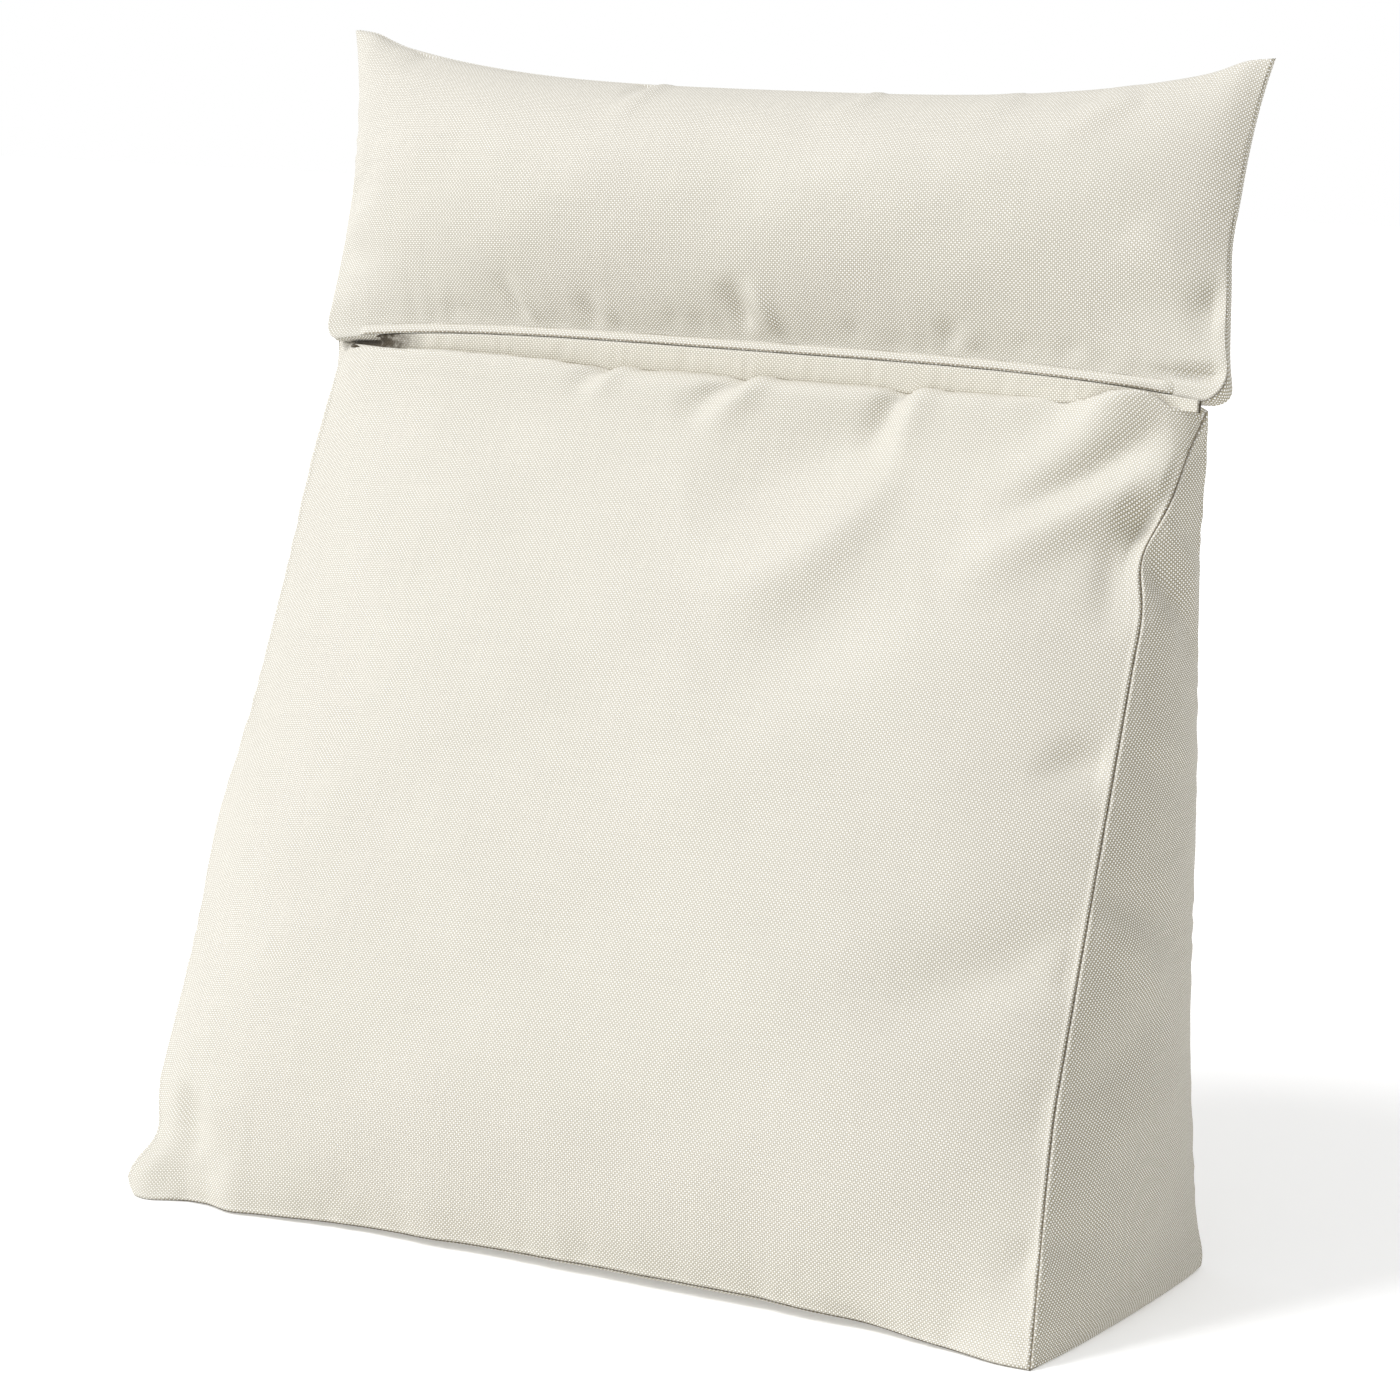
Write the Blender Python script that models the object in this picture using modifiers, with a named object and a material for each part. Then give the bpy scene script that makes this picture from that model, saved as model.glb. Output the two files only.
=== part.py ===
"""Backrest pillow: a filled wedge cushion with a filled head cushion standing on its ridge.

Metres, +Z up. The origin is the middle of the flat base, the sloping front faces -Y and the
upright back faces +Y. Each cushion starts as a box cut into a grid. Its six faces are the sewn
panels, and its edges are the seams between them.
"""
import bmesh
import bpy
from math import exp, hypot

# Wedge cushion: front panel, back panel, base panel and two three-cornered side gussets
BASE_HALF_WIDTH = 0.293
RIDGE_HALF_WIDTH = 0.2835
BASE_DEPTH = 0.198
RIDGE_HEIGHT = 0.4770
RIDGE_Y = 0.101
RIDGE_DEPTH = 0.014
RIDGE_SAG = 0.009
RIDGE_SAG_CENTRE = 0.050
RIDGE_END_ROUND = 0.007
RIDGE_TOP_SWELL = 0.006
FRONT_SWELL = 0.034
FRONT_ROLL = 0.012
BACK_SWELL = 0.016
RIGHT_GUSSET_SWELL = 0.014
LEFT_GUSSET_SWELL = 0.011
RIGHT_SEAM_DRAW = 0.012
RIGHT_PINCH = 0.010
RIGHT_PINCH_HEIGHT = 0.398
RIGHT_PINCH_REACH = 0.020
LEFT_SEAM_DRAW = 0.003
LEFT_PINCH = 0.009
LEFT_PINCH_HEIGHT = 0.036
LEFT_PINCH_REACH = 0.014
BACK_SEAM_DRAW = 0.003
SEAM_LIFT = 0.0055
LIFT_CENTRE = 0.2
CORNER_LIFT = 0.0003
BASE_SEAM_DRAW = 0.005

# Head cushion: two panels sewn round their edges, pressed flat where it stands on the ridge
HEAD_TOP_HALF_WIDTH = 0.299
HEAD_RIGHT_HALF_WIDTH = 0.2890
HEAD_LEFT_HALF_WIDTH = 0.2790
HEAD_FOOT_RIGHT_HALF_WIDTH = 0.3020
HEAD_FOOT_LEFT_HALF_WIDTH = 0.2830
HEAD_EAR_HEIGHT = 0.657
HEAD_TOP_HEIGHT = 0.6315
HEAD_TOP_Y = 0.139
HEAD_EAR_Y = 0.147
HEAD_FOOT_HEIGHT = 0.4860
HEAD_FOOT_END_HEIGHT = 0.4800
HEAD_FOOT_Y = 0.0880
HEAD_FOOT_DEPTH = 0.036
HEAD_FOOT_END_DEPTH = 0.0075
HEAD_SLOPE = hypot(HEAD_TOP_Y - HEAD_FOOT_Y, HEAD_TOP_HEIGHT - HEAD_FOOT_HEIGHT)
HEAD_EDGE_THICKNESS = 0.003
HEAD_FRONT_SWELL = 0.046
HEAD_BACK_SWELL = 0.040
SEAT_HEIGHT = 0.4772

# Strip of cloth that joins the two covers, and the stitched lap over its upper edge
STRIP_THICKNESS = 0.0020
STRIP_LEFT_END = -0.258
STRIP_RIGHT_END = 0.274
STRIP_STAND = 0.0034
STRIP_LEAN = 0.43
LAP_THICKNESS = 0.0015
LAP_LEFT_END = -0.266
LAP_RIGHT_END = 0.286
LAP_HEIGHT = 0.0060
LAP_END_HEIGHT = 0.0100
LAP_MARGIN = 0.0012
GAP = 0.0003

# How the filling rounds the panels: the crown across them, then how steeply each one starts
# to swell at its lower and its upper seam, and how far the roll under the ridge reaches down
CROWN_FULLNESS = 3.2
CROWN_STEEPNESS = 0.62
FRONT_SWELL_ENDS = (0.66, 0.86)
BACK_SWELL_ENDS = (0.50, 0.60)
GUSSET_SWELL_ENDS = (0.40, 0.90)
HEAD_FRONT_SWELL_ENDS = (0.50, 0.85)
HEAD_BACK_SWELL_ENDS = (0.50, 0.80)
FRONT_ROLL_REACH = 0.025

# Grid of each piece: cells across, from front to back, and up
WEDGE_CELLS = (42, 8, 34)
HEAD_CELLS = (42, 3, 18)
STRIP_CELLS = (44, 3)
LAP_CELLS = (44, 2)
GRID_CROWDING = 0.2

# Folds, one row each: where the crease starts and ends on its panel (x and z, or y and z on a
# gusset), half its breadth, and how far it stands out, or is drawn in where negative. A crease
# is full but for a short stretch at each end.
FOLD_TAPER = 0.15
FRONT_FOLDS = (
    # x0,     z0,    x1,     z1,    breadth, height
    (-0.098, 0.468, -0.066, 0.440, 0.010, -0.0020),
    (0.016, 0.468, -0.026, 0.430, 0.012, -0.0030),
    (0.112, 0.474, 0.094, 0.424, 0.013, -0.0060),
    (0.140, 0.470, 0.124, 0.425, 0.014, 0.0040),
    (0.212, 0.474, 0.186, 0.412, 0.014, -0.0035),
    (0.290, 0.462, 0.225, 0.413, 0.018, 0.0070),
    (0.225, 0.413, 0.150, 0.372, 0.020, 0.0050),
    (0.236, 0.424, 0.290, 0.382, 0.016, -0.0080),
    (0.252, 0.398, 0.258, 0.366, 0.014, -0.0030),
    (0.128, 0.424, 0.010, 0.356, 0.022, 0.0030),
    (0.250, 0.296, 0.284, 0.282, 0.014, -0.0030),
    (0.277, 0.214, 0.166, 0.156, 0.022, 0.0030),
    (0.280, 0.176, 0.262, 0.130, 0.014, -0.0025),
    (-0.262, 0.052, -0.244, 0.026, 0.011, -0.0050),
    (-0.226, 0.040, -0.205, 0.020, 0.014, 0.0025),
)
GUSSET_FOLDS = (
    # y0,     z0,    y1,     z1,    breadth, height
    (0.066, 0.400, 0.090, 0.352, 0.012, -0.0040),
    (0.020, 0.230, 0.070, 0.190, 0.018, -0.0030),
    (-0.010, 0.120, 0.060, 0.150, 0.020, 0.0025),
    (-0.060, 0.060, 0.010, 0.040, 0.018, -0.0020),
)
HEAD_FOLDS = (
    # x0,     z0,    x1,     z1,    breadth, height
    (0.014, 0.536, 0.030, 0.500, 0.011, -0.0055),
    (0.036, 0.532, 0.046, 0.500, 0.011, 0.0045),
    (-0.144, 0.524, -0.138, 0.498, 0.011, -0.0030),
    (-0.090, 0.520, -0.084, 0.498, 0.011, -0.0025),
    (0.090, 0.522, 0.096, 0.498, 0.011, -0.0025),
    (0.150, 0.522, 0.156, 0.498, 0.011, -0.0025),
    (-0.084, 0.632, -0.056, 0.606, 0.013, -0.0030),
    (0.072, 0.632, 0.080, 0.608, 0.013, -0.0025),
    (0.140, 0.634, 0.182, 0.606, 0.014, -0.0030),
    (0.262, 0.580, 0.300, 0.534, 0.014, -0.0050),
    (0.284, 0.556, 0.312, 0.520, 0.012, 0.0035),
)

CLOTH_COLOUR = (0.80, 0.77, 0.69, 1.0)
STRIP_COLOUR = (0.76, 0.72, 0.63, 1.0)
CLOTH_ROUGHNESS = 0.9


def clear_scene():
    """Removes every object, so that the model stands alone."""
    for thing in list(bpy.data.objects):
        bpy.data.objects.remove(thing, do_unlink=True)


def cloth_material(name, colour):
    """A plain matt cloth finish."""
    material = bpy.data.materials.new(name)
    material.use_nodes = True
    shader = material.node_tree.nodes["Principled BSDF"]
    shader.inputs["Base Color"].default_value = colour
    shader.inputs["Roughness"].default_value = CLOTH_ROUGHNESS
    shader.inputs["Metallic"].default_value = 0.0
    return material


def mix(low, high, share):
    """The value that lies a share of the way from low to high."""
    return low + (high - low) * share


def ramp(value, steepness):
    """Rises from 0 to 1 and stays there; the steeper, the sooner it is full."""
    return min(1.0, steepness * value)


def bump(value, centre, reach):
    """A soft bump of height 1 at the centre, which fades out over its reach."""
    return exp(-((value - centre) / reach) ** 2)


def crown(across):
    """How a panel swells from its left seam (-1) to its right one (1): full, and steep at the seams."""
    return (1.0 - abs(across) ** CROWN_FULLNESS) ** CROWN_STEEPNESS


def swell(share, ends):
    """A swell from 0 to 1 up a panel; the smaller the number for an end, the steeper that end is."""
    low, high = ends
    peak = low / (low + high)
    return (share / peak) ** low * ((1.0 - share) / (1.0 - peak)) ** high


def fold_relief(folds, across, up):
    """How far the folds of a panel move its cloth out, or in, at one place."""
    relief = 0.0
    for start_a, start_b, end_a, end_b, breadth, height in folds:
        run_a = end_a - start_a
        run_b = end_b - start_b
        along = ((across - start_a) * run_a + (up - start_b) * run_b) / (run_a ** 2 + run_b ** 2)
        nearest = min(max(along, FOLD_TAPER), 1.0 - FOLD_TAPER)
        distance = hypot(across - start_a - run_a * nearest, up - start_b - run_b * nearest)
        relief += height * bump(distance, 0.0, breadth)
    return relief


def station(step, count):
    """Where a cut of the grid lies between -1 and 1: the cuts are closer together near the seams."""
    even = 2.0 * step / count - 1.0
    return mix(even, even ** 3, -GRID_CROWDING)


def gridded_box(cells):
    """A box from -1 to 1, cut into cells along its three directions."""
    mesh = bmesh.new()
    bmesh.ops.create_cube(mesh, size=2.0)
    for axis, count in enumerate(cells):
        normal = [0.0, 0.0, 0.0]
        normal[axis] = 1.0
        for step in range(1, count):
            place = [0.0, 0.0, 0.0]
            place[axis] = station(step, count)
            geometry = mesh.verts[:] + mesh.edges[:] + mesh.faces[:]
            bmesh.ops.bisect_plane(mesh, geom=geometry, dist=1e-6, plane_co=place, plane_no=normal)
    return mesh


def finish_object(name, mesh, material, collection):
    """Turns shaped mesh data into a named, smooth shaded object of the pillow."""
    bmesh.ops.recalc_face_normals(mesh, faces=mesh.faces[:])
    data = bpy.data.meshes.new(name)
    mesh.to_mesh(data)
    mesh.free()
    data.materials.append(material)
    data.shade_smooth()
    thing = bpy.data.objects.new(name, data)
    collection.objects.link(thing)
    return thing


def ridge_height(x):
    """Height of the wedge's ridge seam, which sags between its two ends."""
    reach = RIDGE_HALF_WIDTH + RIDGE_SAG_CENTRE
    return RIDGE_HEIGHT - RIDGE_SAG * (1.0 - (abs(x - RIDGE_SAG_CENTRE) / reach) ** 2.4)


def base_seam_height(u):
    """Height of the base seams over the floor: almost nothing at the corners, most at LIFT_CENTRE."""
    side = (u - LIFT_CENTRE) / (1.0 + LIFT_CENTRE if u < LIFT_CENTRE else 1.0 - LIFT_CENTRE)
    return mix(CORNER_LIFT, SEAM_LIFT, (1.0 - side ** 2) ** 1.5)


def side_seam_draw(right, share, z):
    """How far a front side seam is drawn in; each has a pinch where the cloth is gathered."""
    bow = 4.0 * share * (1.0 - share)
    if right:
        pinch = RIGHT_PINCH * bump(z, RIGHT_PINCH_HEIGHT, RIGHT_PINCH_REACH)
        return RIGHT_SEAM_DRAW * ramp(bow, 1.3) + pinch
    pinch = LEFT_PINCH * bump(z, LEFT_PINCH_HEIGHT, LEFT_PINCH_REACH)
    return LEFT_SEAM_DRAW * bow + pinch + RIDGE_END_ROUND * share ** 30


def wedge_between_seams(u, share, back_share):
    """Place on the wedge before its panels swell: u across, one share up and one to the back."""
    x = u * mix(BASE_HALF_WIDTH, RIDGE_HALF_WIDTH, share)
    z = mix(base_seam_height(u), ridge_height(x), share)
    front_draw = side_seam_draw(u > 0.0, share, z)
    back_draw = BACK_SEAM_DRAW * 4.0 * share * (1.0 - share)
    x -= mix(front_draw, back_draw, back_share) * u * abs(u) ** 3

    half_ridge = RIDGE_DEPTH * mix(0.5, 0.2, u * u)
    base_draw = BASE_SEAM_DRAW * (1.0 - u ** 4) * (1.0 - share) ** 6
    y_front = mix(base_draw - BASE_DEPTH / 2.0, RIDGE_Y - half_ridge, share)
    y_back = mix((BASE_DEPTH - base_draw) / 2.0, RIDGE_Y + half_ridge, share)
    return x, mix(y_front, y_back, back_share), z


def front_panel_out(u, share, x, z):
    """How far the wedge's front panel stands out: its swell, the roll under the ridge, its folds."""
    out = FRONT_SWELL * crown(u) * swell(share, FRONT_SWELL_ENDS)
    below = (1.0 - share) / FRONT_ROLL_REACH
    out += FRONT_ROLL * crown(u) * (2.0 * below) ** 0.5 * exp(0.5 - below)
    inside_seams = ramp(crown(u), 6.0) * ramp(1.0 - share, 30.0)
    return out + fold_relief(FRONT_FOLDS, x, z) * inside_seams


def gusset_out(u, v, share, y, z):
    """How far a side gusset stands out, with the folds of the right one."""
    out = (RIGHT_GUSSET_SWELL if u > 0.0 else LEFT_GUSSET_SWELL) * swell(share, GUSSET_SWELL_ENDS)
    if u > 0.0:
        out += fold_relief(GUSSET_FOLDS, y, z)
    return out * (1.0 - v * v)


def wedge_point(u, v, w):
    """Place on the wedge cushion of a point of the box (u across, v to the back, w up)."""
    share = (w + 1.0) / 2.0
    x, y, z = wedge_between_seams(u, share, (v + 1.0) / 2.0)
    if v == -1.0:
        lean = hypot(BASE_DEPTH / 2.0 + RIDGE_Y, RIDGE_HEIGHT)
        out = front_panel_out(u, share, x, z)
        y -= out * RIDGE_HEIGHT / lean
        z += out * (BASE_DEPTH / 2.0 + RIDGE_Y) / lean
    if v == 1.0:
        y += BACK_SWELL * crown(u) * swell(share, BACK_SWELL_ENDS)
    if abs(u) == 1.0:
        x += u * gusset_out(u, v, share, y, z)
    if w == 1.0:
        z += RIDGE_TOP_SWELL * (1.0 - v * v) * (1.0 - u ** 4)
    if w == -1.0:
        z *= 1.0 - ramp(ramp(1.0 - u * u, 9.0) * ramp(1.0 - v * v, 3.0), 1.6)
    return x, y, min(z, SEAT_HEIGHT - GAP)


def head_half_width(right, share):
    """Half width of the head cushion: drawn in at the sides, wider at the ears and the foot."""
    side = HEAD_RIGHT_HALF_WIDTH if right else HEAD_LEFT_HALF_WIDTH
    foot = HEAD_FOOT_RIGHT_HALF_WIDTH if right else HEAD_FOOT_LEFT_HALF_WIDTH
    ear_share = share ** 5 if right else share ** 3
    return side + (HEAD_TOP_HALF_WIDTH - side) * ear_share + (foot - side) * (1.0 - share) ** 3


def foot_height(u):
    """Height of the head cushion's lower front seam."""
    return mix(HEAD_FOOT_HEIGHT, HEAD_FOOT_END_HEIGHT, abs(u) ** 3)


def foot_share(x):
    """Where a place lies between the two ends of the head cushion's foot, from -1 to 1."""
    return x / (HEAD_FOOT_RIGHT_HALF_WIDTH if x > 0.0 else HEAD_FOOT_LEFT_HALF_WIDTH)


def lap_height(u):
    """Height of the stitched lap above that seam: it opens out towards the right end."""
    return mix(LAP_HEIGHT, LAP_END_HEIGHT, max(0.0, (u - 0.7) / 0.3) ** 2)


def head_between_seams(u, share):
    """Depth and height on the plane between the head cushion's lower and upper front seams."""
    y_top = mix(HEAD_TOP_Y, HEAD_EAR_Y, abs(u) ** 3)
    z_top = mix(HEAD_TOP_HEIGHT, HEAD_EAR_HEIGHT, abs(u) ** 3.2)
    return mix(HEAD_FOOT_Y, y_top, share), mix(foot_height(u), z_top, share)


def head_rows(u, w):
    """Share of the head cushion's height at one row of cells, and the share of its swelling part.

    The lowest row of cells is the flat part that carries the lap.
    """
    lap_share = (lap_height(u) + LAP_MARGIN) / HEAD_SLOPE
    lap_row = station(1, HEAD_CELLS[2])
    if w <= lap_row:
        return lap_share * (w + 1.0) / (lap_row + 1.0), 0.0
    swelling = (w - lap_row) / (1.0 - lap_row)
    return mix(lap_share, 1.0, swelling), swelling


def head_point(u, v, w):
    """Place on the head cushion of a point of the box (u across, v to the back, w up)."""
    share, swelling = head_rows(u, w)
    back_share = (v + 1.0) / 2.0
    x = u * head_half_width(u > 0.0, share)
    y, z = head_between_seams(u, share)
    foot_depth = mix(HEAD_FOOT_DEPTH, HEAD_FOOT_END_DEPTH, abs(u) ** 5)
    y += back_share * mix(foot_depth, HEAD_EDGE_THICKNESS, ramp(share, 1.6))
    z = mix(z, mix(SEAT_HEIGHT, z, ramp(share, 4.0)), back_share)

    out = 0.0
    if v == -1.0:
        inside_seams = ramp(crown(u), 4.0) * ramp(swelling, 9.0)
        out = -HEAD_FRONT_SWELL * crown(u) * swell(swelling, HEAD_FRONT_SWELL_ENDS)
        out -= fold_relief(HEAD_FOLDS, x, z) * inside_seams
    if v == 1.0:
        out = HEAD_BACK_SWELL * crown(u) * swell(share, HEAD_BACK_SWELL_ENDS)
    y += out * (HEAD_TOP_HEIGHT - HEAD_FOOT_HEIGHT) / HEAD_SLOPE
    z -= out * (HEAD_TOP_Y - HEAD_FOOT_Y) / HEAD_SLOPE
    if w == -1.0:
        z = mix(z, SEAT_HEIGHT, ramp(1.0 - v * v, 2.5) * (1.0 - u ** 6))
    return x, y, max(z, SEAT_HEIGHT)


def strip_point(along, up):
    """Place on the joining strip, from the ridge seam up to the head cushion's lower seam."""
    x = mix(STRIP_LEFT_END, STRIP_RIGHT_END, along)
    z_low = ridge_height(x) + STRIP_STAND
    z_high = foot_height(foot_share(x)) - GAP - STRIP_THICKNESS / 2.0
    y_high = HEAD_FOOT_Y - LAP_THICKNESS
    y_low = y_high + STRIP_LEAN * (z_high - z_low)
    return x, mix(y_low, y_high, up), mix(z_low, z_high, up)


def lap_point(along, up):
    """Place on the stitched lap, which lies flat on the foot of the head cushion's front panel."""
    x = mix(LAP_LEFT_END, LAP_RIGHT_END, along)
    u = foot_share(x)
    y, z = head_between_seams(u, up * lap_height(u) / HEAD_SLOPE)
    return x, y - LAP_THICKNESS / 2.0 - GAP, z


def cushion(name, cells, place, material, collection):
    """A filled cushion: each point of the gridded box goes to its place on the sewn form."""
    mesh = gridded_box(cells)
    for vertex in mesh.verts:
        u, v, w = (round(value, 6) for value in vertex.co)
        vertex.co = place(u, v, w)
    return finish_object(name, mesh, material, collection)


def cloth_band(name, cells, place, thickness, material, collection):
    """A band of cloth: a flat grid laid along its seam and thickened to both sides."""
    mesh = bmesh.new()
    bmesh.ops.create_grid(mesh, x_segments=cells[0], y_segments=cells[1], size=0.5)
    for vertex in mesh.verts:
        vertex.co = place(vertex.co.x + 0.5, vertex.co.y + 0.5)
    band = finish_object(name, mesh, material, collection)
    solidify = band.modifiers.new("Cloth thickness", "SOLIDIFY")
    solidify.thickness = thickness
    solidify.offset = 0.0
    solidify.use_even_offset = True
    return band


def build():
    """Makes the four pieces in one collection."""
    clear_scene()
    pillow = bpy.data.collections.new("backrest_pillow")
    bpy.context.scene.collection.children.link(pillow)
    cloth = cloth_material("cover_cloth", CLOTH_COLOUR)
    strip_cloth = cloth_material("strip_cloth", STRIP_COLOUR)
    cushion("wedge_cushion", WEDGE_CELLS, wedge_point, cloth, pillow)
    cushion("head_cushion", HEAD_CELLS, head_point, cloth, pillow)
    cloth_band("joining_strip", STRIP_CELLS, strip_point, STRIP_THICKNESS, strip_cloth, pillow)
    cloth_band("seam_lap", LAP_CELLS, lap_point, LAP_THICKNESS, strip_cloth, pillow)


build()
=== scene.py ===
from math import hypot, log, pi, radians

import bmesh
import bpy
import numpy as np
from mathutils import Matrix, Vector


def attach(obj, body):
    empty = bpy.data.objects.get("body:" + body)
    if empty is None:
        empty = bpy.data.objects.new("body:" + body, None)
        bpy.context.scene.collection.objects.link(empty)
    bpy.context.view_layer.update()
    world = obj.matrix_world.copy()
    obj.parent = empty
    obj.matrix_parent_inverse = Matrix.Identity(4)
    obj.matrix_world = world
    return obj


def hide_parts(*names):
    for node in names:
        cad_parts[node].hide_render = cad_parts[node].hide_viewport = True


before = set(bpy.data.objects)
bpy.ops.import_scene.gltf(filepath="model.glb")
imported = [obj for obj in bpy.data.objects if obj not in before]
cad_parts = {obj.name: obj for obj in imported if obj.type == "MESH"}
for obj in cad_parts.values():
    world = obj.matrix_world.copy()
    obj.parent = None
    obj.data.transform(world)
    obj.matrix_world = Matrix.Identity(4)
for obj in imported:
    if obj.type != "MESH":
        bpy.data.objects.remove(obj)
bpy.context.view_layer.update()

# Wedge cushion: the lower cushion, with a sloping front, an upright back, a flat base and two
# three-cornered gussets. It is cut from off-white plain weave and sewn with plain seams round
# loose fibre, which rounds the panels and draws the side seams in between the corners.

BASE_HALF_WIDTH = 0.293
RIDGE_HALF_WIDTH = 0.2835
BASE_DEPTH = 0.198
RIDGE_HEIGHT = 0.4770
RIDGE_Y = 0.101
RIDGE_DEPTH = 0.014
RIDGE_SAG = 0.0055
RIDGE_SAG_CENTRE = 0.050
RIDGE_SAG_FULLNESS = 2.4
RIDGE_END_SHARE = 0.2
RIDGE_END_SHARPNESS = 25
RIDGE_END_ROUND = 0.012
RIDGE_TOP_SWELL = 0.006
FRONT_SWELL = 0.034
FRONT_SWELL_ENDS = (0.66, 0.86)
FRONT_ROLL = 0.012
FRONT_ROLL_REACH = 0.025
ROLL_LIFT = 0.0050
ROLL_LIFT_LEFT = 0.0045
ROLL_LIFT_RIGHT = 0.0145
ROLL_FORWARD_RIGHT = 0.0125
# Where across the ridge, from -1 to 1, its roll starts to rise towards an end, and over how far
ROLL_RIGHT_PART = (0.74, 0.16)
ROLL_LEFT_PART = (-0.25, 0.5)
ROLL_END_SHARPNESS = 20
CREST_Y = 0.0835
CREST_HEIGHT = 0.4835
CREST_RISE_RIGHT = 0.0022
# Where across, in metres, the crest's rise starts, and over how far
CREST_RISE_PART = (0.232, 0.024)
CREST_STEEPNESS = 250.0
BACK_SWELL = 0.016
BACK_SWELL_ENDS = (0.50, 0.60)
RIGHT_GUSSET_SWELL = 0.014
LEFT_GUSSET_SWELL = 0.011
GUSSET_SWELL_ENDS = (0.40, 0.90)
# How full a gusset swells across, and how steeply at its seams
GUSSET_CROWN = (2.4, 0.7)
RIGHT_SEAM_DRAW = 0.012
RIGHT_SEAM_FULLNESS = 1.3
LEFT_SEAM_DRAW = 0.003
BACK_SEAM_DRAW = 0.003
SEAM_LIFT = 0.0076
LIFT_CENTRE = 0.3
LIFT_FULLNESS = 2.0
CORNER_LIFT = 0.0003
BASE_SEAM_DRAW = 0.007
BASE_DRAW_FADE = 6
# How steeply the base flattens in from its sides, from its front and back, and in all
BASE_FLATTENING = (9.0, 1.9, 1.6)
SEAT_HEIGHT = 0.4772
GAP = 0.0003

WEDGE_CELLS = (90, 22, 66)
WEDGE_START = 0.90
WEDGE_CAP = 0.0065
SPREAD_ROUNDS = 14
CROWN_LEFT = (3.2, 0.62)
CROWN_RIGHT = (2.5, 0.78)
GRID_CROWDING = (8.0, 0.012)
ON_PANEL = 0.9999
PUFF_STEPS = 20
COVER_SETTINGS = {
    "quality": 6, "mass": 0.3, "tension_stiffness": 20.0, "compression_stiffness": 20.0,
    "shear_stiffness": 8.0, "bending_stiffness": 0.4, "shrink_min": -0.012,
    "use_pressure": True, "uniform_pressure_force": 4.0, "vertex_group_mass": "sewn",
}

# Where the side seams are gathered or let out: the height, how far that reaches, and how far in
FRONT_LEFT_DRAWS = (
    (0.000, 0.0065, 0.0075), (0.010, 0.0090, -0.0045), (0.036, 0.0140, 0.0090),
    (0.205, 0.0450, -0.0045), (0.360, 0.1000, 0.0030), (0.445, 0.0300, 0.0025),
)
FRONT_RIGHT_DRAWS = ((0.398, 0.020, 0.010), (0.480, 0.022, -0.0065))
BACK_RIGHT_DRAWS = ((0.455, 0.040, -0.0030), (0.130, 0.090, 0.0035), (0.008, 0.014, -0.0040))
# Where the base's front seam is pushed forward over the floor: the place across from -1 to 1, how
# far that reaches, and how far forward
BASE_FRONT_PUSHES = (
    (-0.960, 0.060, 0.0100), (-0.757, 0.036, 0.0050), (-0.700, 0.130, 0.0065),
    (-0.300, 0.050, 0.0022), (-0.020, 0.045, 0.0010), (0.170, 0.040, 0.0008),
    (0.420, 0.060, -0.0018), (0.650, 0.090, -0.0042), (0.930, 0.060, 0.0030),
)
BASE_PUSH_FADE = 18.0
BASE_SIDE_PUSH = 0.0026
BASE_ROLL = 0.0022
BASE_ROLL_FRONT = -0.7
BASE_ROLL_SIDES = 0.9

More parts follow.
